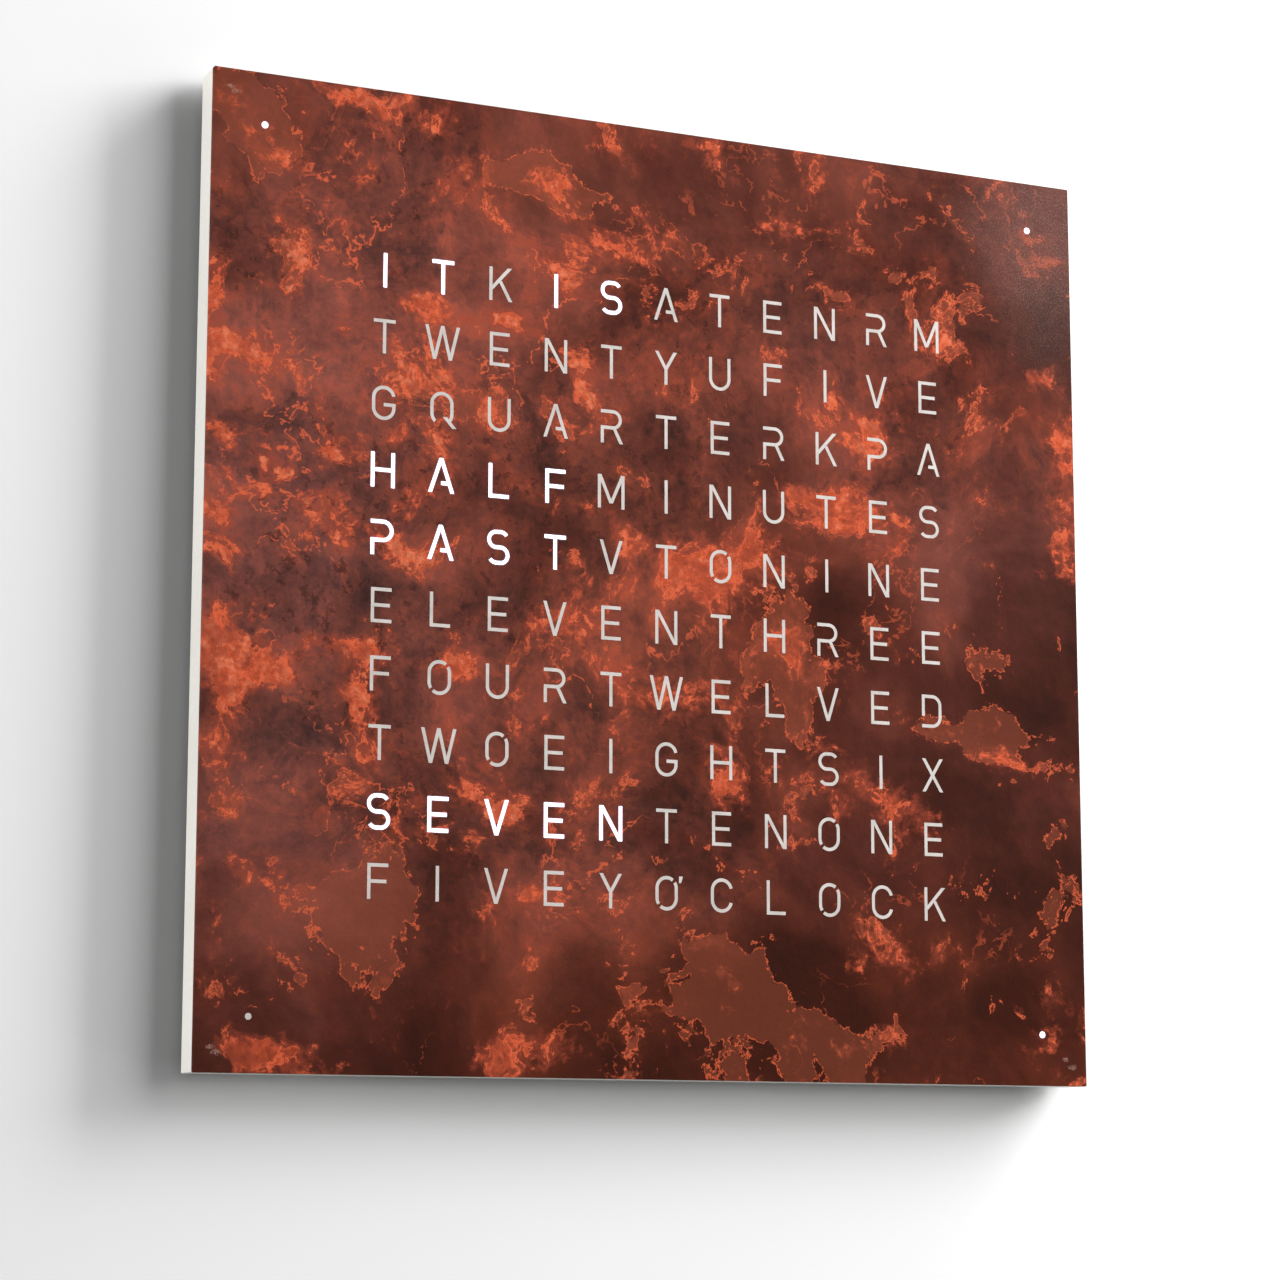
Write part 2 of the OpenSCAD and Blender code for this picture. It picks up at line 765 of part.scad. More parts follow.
keyhole_margin = 3.5;
hanger_border = 8;
hanger_window_w = keyhole_d + 2 * keyhole_margin;
hanger_window_h = keyhole_d + keyhole_rise + 2 * keyhole_margin;
hanger_mid = keyhole_rise / 2;
hanger_w = hanger_window_w + 2 * hanger_border;
hanger_h = hanger_window_h + 2 * hanger_border;
rivet_inset = hanger_border / 2;
rivet_r = 1.6;
rivet_head_r = 2.6;

// Copies at the two hangers, about the middle of each keyhole
module at_hangers() {
    for (i = [-1, 1]) translate([i * hanger_spacing / 2, hanger_z + hanger_mid]) children();
}

module rivet_holes(r) {
    for (i = [-1, 1], k = [-1, 1]) translate([i * (hanger_w / 2 - rivet_inset), k * (hanger_h / 2 - rivet_inset)])
        circle(r);
}

// Copies at the four screws that hold the well's flange
module at_well_screws() {
    x = well_w / 2 + well_t + well_flange_w / 2;
    for (i = [-1, 1], z = [well_top - well_h / 5, well_bottom + well_h / 5]) translate([i * x, 0, z]) children();
}

module rear_cover() {
    color([0.82, 0.82, 0.8]) difference() {
        union() {
            plate(y_housing_back, y_housing_back + pan_t) difference() {
                square(2 * (pan_half + flange_w), center = true);
                square(2 * (pan_half - pan_t), center = true);
            }
            plate(y_housing_back, y_wall) difference() {
                square(2 * pan_half, center = true);
                square(2 * (pan_half - pan_t), center = true);
            }
            plate(y_pan_floor, y_wall) difference() {
                square(2 * pan_half, center = true);
                well_outline(pass_gap);
                at_hangers() square([hanger_window_w, hanger_window_h], center = true);
                at_hangers() rivet_holes(rivet_r + seat_gap);
            }
        }
        plate(y_housing_back + pan_t, y_wall + 1) groove_outline(pass_gap);
        along_sides(pan_screw_at, screw_at) rod(0, 0, m3_r + pass_gap, y_housing_back - 1, y_housing_back + pan_t + 1);
        at_well_screws() translate([0, y_wall, 0]) mirror([0, 1, 0]) flat_seat(m2_r, m2_head_r, pan_t);
    }
}

module rear_cover_screws() {
    color("silver") along_sides(pan_screw_at, screw_at) translate([0, y_housing_back + pan_t, 0])
        mirror([0, 1, 0]) pan_screw(m3_r, m3_head_r, m3_head_h, pan_t + lip_t - tip_gap);
}

module keyhole() {
    translate([0, -hanger_mid]) circle(keyhole_d / 2);
    translate([-keyhole_slot / 2, -hanger_mid]) square([keyhole_slot, keyhole_rise]);
    translate([0, keyhole_rise - hanger_mid]) circle(keyhole_slot / 2);
}

module hanger_plates() {
    color([0.6, 0.62, 0.65]) plate(y_pan_floor - hanger_t, y_pan_floor) at_hangers() difference() {
        square([hanger_w, hanger_h], center = true);
        keyhole();
        rivet_holes(rivet_r + seat_gap);
    }
}

module hanger_rivets() {
    y = y_pan_floor - hanger_t;
    color("silver") {
        plate(y, y_wall) at_hangers() rivet_holes(rivet_r);
        plate(y - 0.8, y) at_hangers() rivet_holes(rivet_head_r);
    }
}

// --- Well for the supply plug, with the socket at its upper end -----------------

module lead_well() {
    g = groove_w / 2;
    color([0.15, 0.15, 0.16]) difference() {
        union() {
            plate(well_floor, y_wall) well_outline(0);
            plate(y_pan_floor - well_floor_t, y_pan_floor) {
                w = well_w / 2 + well_t + well_flange_w;
                translate([-w, well_bottom]) square([2 * w, well_h]);
            }
            block(-g - well_t, g + well_t, groove_floor, y_wall, -pan_half + pan_t, well_bottom);
        }
        block(-well_w / 2, well_w / 2, well_floor + well_floor_t, y_wall + 1, well_bottom, well_top);
        block(-g, g, groove_floor + groove_floor_t, y_wall + 1, -pan_half, well_bottom + 1);
        block(-socket_w / 2 - pass_gap, socket_w / 2 + pass_gap, socket_y - socket_h / 2 - pass_gap,
            socket_y + socket_h / 2 + pass_gap, well_top - 1, well_top + well_t + 1);
        at_well_screws() rod(0, 0, m2_r + seat_gap, y_pan_floor - well_floor_t - 1, y_wall);
    }
}

module lead_well_screws() {
    color("silver") at_well_screws() translate([0, y_wall, 0]) mirror([0, 1, 0])
        flat_screw(m2_r, m2_head_r, pan_t + well_floor_t + 0.8);
}

module supply_socket() {
    w = socket_w / 2;
    h = socket_h / 2;
    color([0.1, 0.1, 0.1]) difference() {
        union() {
            block(-w, w, socket_y - h, socket_y + h, well_top, well_top + socket_l);
            block(-w - socket_wing_w, w + socket_wing_w, y_parts, y_parts + socket_wing_t,
                control_bottom + 3, well_top + socket_l);
        }
        translate([0, socket_y, well_top - 1]) cylinder(r = socket_d / 2, h = supply_pin_l + 2.2);
        translate([0, socket_y, well_top + supply_pin_l]) cylinder(r = supply_pin_r + seat_gap, h = 2.7);
    }
}

module supply_pin() {
    color([0.8, 0.7, 0.35]) translate([0, socket_y, well_top + 1]) cylinder(r = supply_pin_r, h = supply_pin_l + 1.5);
}

// --- Control board ------------------------------------------------------------

// Copies at the control board's four posts
module control_corners() {
    x = control_w / 2 - control_post_inset;
    z = control_h / 2 - control_post_inset;
    for (i = [-1, 1], k = [-1, 1]) translate([i * x, control_mid + k * z]) children();
}

module control_board() {
    color([0.05, 0.3, 0.15]) plate(y_control, y_parts) difference() {
        translate([-control_w / 2, control_bottom]) square([control_w, control_h]);
        translate([-socket_w / 2 - pass_gap, control_bottom - 1])
            square([socket_w + 2 * pass_gap, well_top + socket_l + pass_gap - control_bottom + 1]);
        control_corners() circle(m25_r + pass_gap);
    }
}

module control_posts() {
    color([0.8, 0.7, 0.35]) plate(y_lip, y_control) control_corners() difference() {
        circle(control_post_r);
        circle(m25_r + seat_gap);
    }
}

module control_screws() {
    color("silver") {
        plate(y_parts, y_parts + m25_head_h) control_corners() circle(m25_head_r);
        plate(y_chassis + 0.1, y_parts) control_corners() circle(m25_r);
    }
}

// A part that lies on the control board, given from the board's middle
module on_board(x, z, w, h, t) {
    block(x - w / 2, x + w / 2, y_parts, y_parts + t, control_mid + z - h / 2, control_mid + z + h / 2);
}

module microcontroller() {
    color([0.08, 0.08, 0.08]) on_board(-14, 6, 12, 12, 1.2);
}

module led_drivers() {
    color([0.08, 0.08, 0.08]) for (i = [0:3]) on_board(14 + 11 * (i % 2), i < 2 ? 10 : -4, 7, 9, 1.1);
}

module supply_capacitors() {
    color([0.75, 0.6, 0.2]) for (i = [0, 1]) on_board(-14 - 10 * i, -26, 7.3, 4.3, 2.8);
}

cell_x = -40;
cell_z = 20;
clip_w = 4;
clip_t = 0.3;

module clock_chip() {
    color([0.08, 0.08, 0.08]) on_board(cell_x, -4, 5, 6.2, 1.5);
}

module clock_crystal() {
    color("silver") on_board(cell_x, -12, 3.2, 1.5, 0.9);
}

module backup_cell() {
    color("silver") rod(cell_x, control_mid + cell_z, cell_d / 2, y_parts, y_parts + cell_t);
}

// A strap over the cell with a foot on each side
module cell_clip() {
    x = cell_d / 2 + 0.4;
    color([0.7, 0.7, 0.7]) union() {
        translate([0, cell_t, 0]) on_board(cell_x, cell_z, 2 * x, clip_w, clip_t);
        for (i = [-1, 1]) on_board(cell_x + i * (x + clip_t), cell_z, 2 * clip_t, clip_w, cell_t + clip_t);
    }
}

// --- Ribbon from the control board to the LED boards ------------------------------

module led_ribbon() {
    x1 = ribbon_x - ribbon_w / 2;
    x2 = ribbon_x + ribbon_w / 2;
    y_in = y_board - connector_h / 2;
    color([0.6, 0.6, 0.65]) union() {
        block(x1, x2, y_ribbon - ribbon_t, y_ribbon, ribbon_slot_z, control_bottom + 1);
        block(x1, x2, y_in - ribbon_t, y_ribbon, ribbon_slot_z, ribbon_slot_z + ribbon_t);
        block(x1, x2, y_in - ribbon_t, y_in, ribbon_slot_z, -board_half_z + 0.8);
    }
}

module ribbon_connectors() {
    w = ribbon_w / 2 + 1;
    z = control_bottom + 1;
    color([0.9, 0.88, 0.8]) {
        block(ribbon_x - w, ribbon_x + w, y_parts, y_parts + connector_h, z, z + connector_l);
        block(ribbon_x - w, ribbon_x + w, y_board - connector_h, y_board,
            -board_half_z + 0.8, -board_half_z + 0.8 + connector_l);
    }
}

// --- Edge boards --------------------------------------------------------------

// A strip board inside an edge wall, on its posts
module edge_board(x, side, half_l, inward, post_at) {
    z = side * (half_in - inward);
    color([0.05, 0.3, 0.15]) difference() {
        block(x - half_l, x + half_l, y_channel - edge_board_w / 2, y_channel + edge_board_w / 2,
            min(z, z - side * board_t), max(z, z - side * board_t));
        for (i = [-1, 1]) translate([x + i * post_at, y_channel, z - side * board_t / 2])
            cylinder(r = m2_r + pass_gap, h = board_t + 2, center = true);
    }
}

// The two screws that hold a strip board
module edge_screws(x, side, inward, post_at) {
    z = side * (half_in - inward - board_t);
    color("silver") for (i = [-1, 1]) translate([x + i * post_at, y_channel, z]) mirror([0, 0, side > 0 ? 0 : 1]) {
        translate([0, 0, -m2_head_h]) cylinder(r = m2_head_r, h = m2_head_h);
        cylinder(r = m2_r, h = board_t + inward);
    }
}

// A flat lead from the control board's edge, through the chassis plate, to an edge board
module edge_lead(x, side, z_start, inward) {
    x1 = x - edge_lead_w / 2;
    x2 = x + edge_lead_w / 2;
    z_slot = side * edge_lead_z;
    z_end = side * (half_in - inward - board_t - edge_connector_h);
    y1 = y_edge_lead - ribbon_t;
    block(x1, x2, y_ribbon - ribbon_t, y_ribbon, min(z_start, z_slot - ribbon_t / 2), max(z_start, z_slot + ribbon_t / 2));
    block(x1, x2, y1, y_ribbon, z_slot - ribbon_t / 2, z_slot + ribbon_t / 2);
    block(x1, x2, y1, y_edge_lead, min(z_slot - ribbon_t / 2, z_end), max(z_slot + ribbon_t / 2, z_end));
    block(x1 - 1, x2 + 1, y1 - 0.7, y_edge_lead + 0.7, min(z_end, z_end + side * edge_connector_h),
        max(z_end, z_end + side * edge_connector_h));
}

module button_board() {
    edge_board(button_x, -1, button_board_half, button_board_in, button_post_at);
}

module button_board_screws() {
    edge_screws(button_x, -1, button_board_in, button_post_at);
}

module button_switches() {
    z = -half_in + button_board_in;
    color([0.15, 0.15, 0.15]) for (i = [0:3]) translate([button_at(i), y_channel, z]) difference() {
        translate([-switch_w / 2, -switch_w / 2, -switch_h]) cube([switch_w, switch_w, switch_h]);
        translate([0, 0, -switch_h - 1]) cylinder(r = plunger_r + slide_gap, h = switch_h);
    }
}

// The lead leaves the board's right edge, then runs down to the button board
module button_lead() {
    z = control_mid - button_lead_drop;
    x_edge = control_w / 2;
    color([0.6, 0.6, 0.65]) union() {
        edge_lead(button_lead_x, -1, z + edge_lead_w, button_board_in);
        block(x_edge, button_lead_x, y_ribbon - ribbon_t, y_ribbon, z, z + edge_lead_w);
        block(x_edge - connector_l, x_edge, y_parts, y_parts + connector_h, z - 1, z + edge_lead_w + 1);
    }
}

// A dished cap with the flange that keeps it in the wall
module button_cap(i) {
    z = -half + button_recess;
    dish_r = 2.2 * button_d;
    color([0.85, 0.84, 0.81]) translate([button_at(i), y_channel, 0]) difference() {
        union() {
            translate([0, 0, z]) cylinder(r = button_d / 2, h = wall_t - button_recess + slide_gap + button_flange_t);
            translate([0, 0, -half_in + slide_gap]) cylinder(r = button_flange_r, h = button_flange_t);
        }
        translate([0, 0, z + 0.3 - dish_r]) sphere(dish_r);
    }
}

// The switch's own plunger, which the cap pushes
module plunger(i) {
    z = -half_in + slide_gap + button_flange_t;
    color([0.8, 0.3, 0.2]) translate([button_at(i), y_channel, z]) cylinder(r = plunger_r, h = plunger_l);
}

module sensor_board() {
    edge_board(sensor_x, 1, sensor_board_half, sensor_board_in, sensor_post_at);
}

module sensor_board_screws() {
    edge_screws(sensor_x, 1, sensor_board_in, sensor_post_at);
}

module light_sensor() {
    z = half_in - sensor_board_in;
    w = sensor_w / 2;
    color([0.2, 0.2, 0.22]) block(sensor_x - w, sensor_x + w, y_channel - w, y_channel + w, z, z + sensor_h);
}

module sensor_window() {
    color([0.85, 0.9, 0.92, 0.6]) translate([sensor_x, y_channel, 0]) {
        translate([0, 0, half - window_l]) cylinder(r = window_d / 2, h = window_l);
        translate([0, 0, half_in - window_flange_t]) cylinder(r = window_d / 2 + 0.8, h = window_flange_t);
    }
}

module sensor_lead() {
    z = control_top - connector_l;
    color([0.6, 0.6, 0.65]) union() {
        edge_lead(sensor_x, 1, control_top, sensor_board_in);
        block(sensor_x - edge_lead_w / 2 - 1, sensor_x + edge_lead_w / 2 + 1, y_parts, y_parts + connector_h,
            z, control_top);
    }
}

// --- Nodes ----------------------------------------------------------------------

front_cover();
letter_inlays();
cover_studs();
housing();
stud_bushes();
magnets();
diffuser();
diffuser_posts();
diffuser_screws();
baffle_grid();
minute_tubes();
led_board(1);  // led_board_upper
led_board(-1);  // led_board_lower
led_board_link();
led_board_screws();
letter_leds();
minute_boards();
minute_board_screws();
minute_leds();
minute_leads();
chassis_plate();
chassis_screws();
rear_cover();
rear_cover_screws();
hanger_plates();
hanger_rivets();
lead_well();
lead_well_screws();
supply_socket();
supply_pin();
control_board();
control_posts();
control_screws();
microcontroller();
led_drivers();
supply_capacitors();
clock_chip();
clock_crystal();
backup_cell();
cell_clip();
led_ribbon();
ribbon_connectors();
button_board();
button_board_screws();
button_switches();
button_lead();
button_cap(0);  // button_hours
button_cap(1);  // button_minutes
button_cap(2);  // button_brightness
button_cap(3);  // button_mode
plunger(0);  // plunger_hours
plunger(1);  // plunger_minutes
plunger(2);  // plunger_brightness
plunger(3);  // plunger_mode
sensor_board();
sensor_board_screws();
light_sensor();
sensor_window();
sensor_lead();
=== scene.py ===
import json
import math

import bmesh
import bpy
import numpy as np
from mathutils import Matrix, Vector


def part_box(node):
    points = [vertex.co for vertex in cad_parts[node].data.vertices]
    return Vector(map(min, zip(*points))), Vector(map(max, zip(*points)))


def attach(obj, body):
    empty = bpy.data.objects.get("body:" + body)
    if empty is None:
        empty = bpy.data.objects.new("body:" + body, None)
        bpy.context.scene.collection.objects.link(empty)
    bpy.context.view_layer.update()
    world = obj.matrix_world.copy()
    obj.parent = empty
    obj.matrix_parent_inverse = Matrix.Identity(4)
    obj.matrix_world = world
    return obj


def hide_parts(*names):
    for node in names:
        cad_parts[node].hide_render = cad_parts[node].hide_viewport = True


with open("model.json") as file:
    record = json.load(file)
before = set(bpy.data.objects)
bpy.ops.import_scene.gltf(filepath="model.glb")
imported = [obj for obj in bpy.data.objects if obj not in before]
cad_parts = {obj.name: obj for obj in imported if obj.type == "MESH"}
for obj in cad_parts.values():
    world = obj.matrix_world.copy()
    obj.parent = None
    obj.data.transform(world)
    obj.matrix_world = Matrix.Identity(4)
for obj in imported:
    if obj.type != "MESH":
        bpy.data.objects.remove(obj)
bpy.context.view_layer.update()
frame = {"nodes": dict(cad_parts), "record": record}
print("frame loaded:", len(frame["nodes"]), "nodes")

# Camera: seen from the left and a little below, with a long lens
camera = {
    "place": (-0.66426, -1.41941, -0.27736),
    "pitchDegrees": 9.388,
    "yawDegrees": -24.966,
    "lensMm": 94.60,
    "sensorMm": 36.0,
    "clip": (0.05, 50),
}


def addCamera():
    data = bpy.data.cameras.new("camera")
    data.lens, data.sensor_width = camera["lensMm"], camera["sensorMm"]
    data.clip_start, data.clip_end = camera["clip"]
    seen = bpy.data.objects.new("camera", data)
    seen.location = camera["place"]
    seen.rotation_euler = (
        math.radians(90 + camera["pitchDegrees"]), 0, math.radians(camera["yawDegrees"]))
    bpy.context.scene.collection.objects.link(seen)
    bpy.context.scene.camera = seen


addCamera()

mm = 0.001
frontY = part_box("front_cover")[0].y

# The letter grid and which cells and dots are lit
letterField = {
    "columns": 11,
    "rows": 10,
    "columnPitch": 28.35 * mm,
    "rowPitch": 31.05 * mm,
    "dotAt": 200.6 * mm,
    # row, first lit column, last lit column
    "litRuns": [(0, 0, 1), (0, 3, 4), (3, 0, 3), (4, 0, 3), (8, 0, 4)],
    # the sides of the middle on which the lit dots stand, and half of a dot's own cell
    "litDots": [(-1, 1), (1, 1), (1, -1)],
    "dotCellHalf": 4.5 * mm,
}


def srgb(red, green, blue):
    # display value 0-255 to linear light: v/12.92 near black, else ((v+0.055)/1.055)^2.4
    shares = np.array([red, green, blue]) / 255
    linear = np.where(shares <= 0.04045, shares / 12.92, ((shares + 0.055) / 1.055) ** 2.4)
    return (*[float(v) for v in linear], 1.0)


class Link:
    # an output socket of a node tree that can be used in plain arithmetic
    def __init__(self, finish, socket):
        self.finish, self.socket = finish, socket

    def sum(self, operation, *values):
        places = dict(enumerate(values))
        return self.finish.node("ShaderNodeMath", {"operation": operation}, places)

    def __add__(self, other):
        return self.sum("ADD", self, other)

    def __radd__(self, other):
        return self.sum("ADD", other, self)

    def __sub__(self, other):
        return self.sum("SUBTRACT", self, other)

    def __rsub__(self, other):
        return self.sum("SUBTRACT", other, self)

    def __mul__(self, other):
        return self.sum("MULTIPLY", self, other)

    def __rmul__(self, other):
        return self.sum("MULTIPLY", other, self)

    def __abs__(self):
        return self.sum("ABSOLUTE", self)

    def largest(self, other):
        return self.sum("MAXIMUM", self, other)


class Finish:
    # the node tree of a material or of the world, and the few steps that all finishes use
    def __init__(self, owner):
        self.owner = owner
        owner.use_nodes = True
        self.tree = owner.node_tree
        self.tree.nodes.clear()

    def node(self, kind, settings=None, values=None, output=0):
        made = self.tree.nodes.new(kind)
        for name, value in (settings or {}).items():
            if name == "stops":
                ramp = made.color_ramp
                while len(ramp.elements) < len(value):
                    ramp.elements.new(0.5)
                for element, (position, colour) in zip(ramp.elements, value):
                    element.position, element.color = position, colour
            else:
                setattr(made, name, value)
        for place, value in (values or {}).items():
            if isinstance(value, Link):
                self.tree.links.new(value.socket, made.inputs[place])
            else:
                made.inputs[place].default_value = value
        return Link(self, made.outputs[output])

    def place(self):
        return self.node("ShaderNodeTexCoord", output="Object")

    def stretched(self, at, scale):
        return self.node("ShaderNodeVectorMath", {"operation": "MULTIPLY"}, {0: at, 1: scale})

    def noise(self, at, perMetre, detail=4.0, roughness=0.55):
        return self.node("ShaderNodeTexNoise", {}, {
            "Vector": at, "Scale": perMetre, "Detail": detail, "Roughness": roughness})

    def folded(self, at, perMetre, reach, detail=3.0):
        # the place moved by up to half of reach, along a noise of three numbers
        drift = self.node("ShaderNodeTexNoise", {}, {
            "Vector": at, "Scale": perMetre, "Detail": detail}, output="Color")
        middle = self.node(
            "ShaderNodeVectorMath", {"operation": "SUBTRACT"}, {0: drift, 1: (0.5, 0.5, 0.5)})
        return self.node("ShaderNodeVectorMath", {"operation": "MULTIPLY_ADD"}, {
            0: middle, 1: (reach, reach, reach), 2: at})

    def rise(self, value, low, high, start=0.0, end=1.0):
        # start below low, end above high, an even curve between
        return self.node("ShaderNodeMapRange", {"interpolation_type": "SMOOTHSTEP"}, {
            0: value, 1: low, 2: high, 3: start, 4: end})

    def blend(self, share, first, second, kind="MIX"):
        return self.node("ShaderNodeMix", {"data_type": "RGBA", "blend_type": kind}, {
            0: share, 6: first, 7: second}, output=2)

    def ramp(self, value, stops):
        return self.node("ShaderNodeValToRGB", {"stops": stops}, {0: value})

    def bump(self, height, depth, strength=1.0):
        return self.node("ShaderNodeBump", {}, {
            "Height": height, "Distance": depth, "Strength": strength}, output="Normal")

    def surface(self, **values):
        names = {
            "colour": "Base Color", "roughness": "Roughness", "metallic": "Metallic",
            "normal": "Normal", "glow": "Emission Color", "glowStrength": "Emission Strength",
            "specular": "Specular IOR Level", "clear": "Transmission Weight", "ior": "IOR"}
        return self.node("ShaderNodeBsdfPrincipled", {}, {names[k]: v for k, v in values.items()})

    def close(self, shader, output="ShaderNodeOutputMaterial"):
        out = self.tree.nodes.new(output)
        self.tree.links.new(shader.socket, out.inputs["Surface"])
        return self.owner


def newFinish(name):
    material = bpy.data.materials.new(name)
    material.cycles.emission_sampling = "NONE"  # the glow is seen, and lights nothing
    return Finish(material)


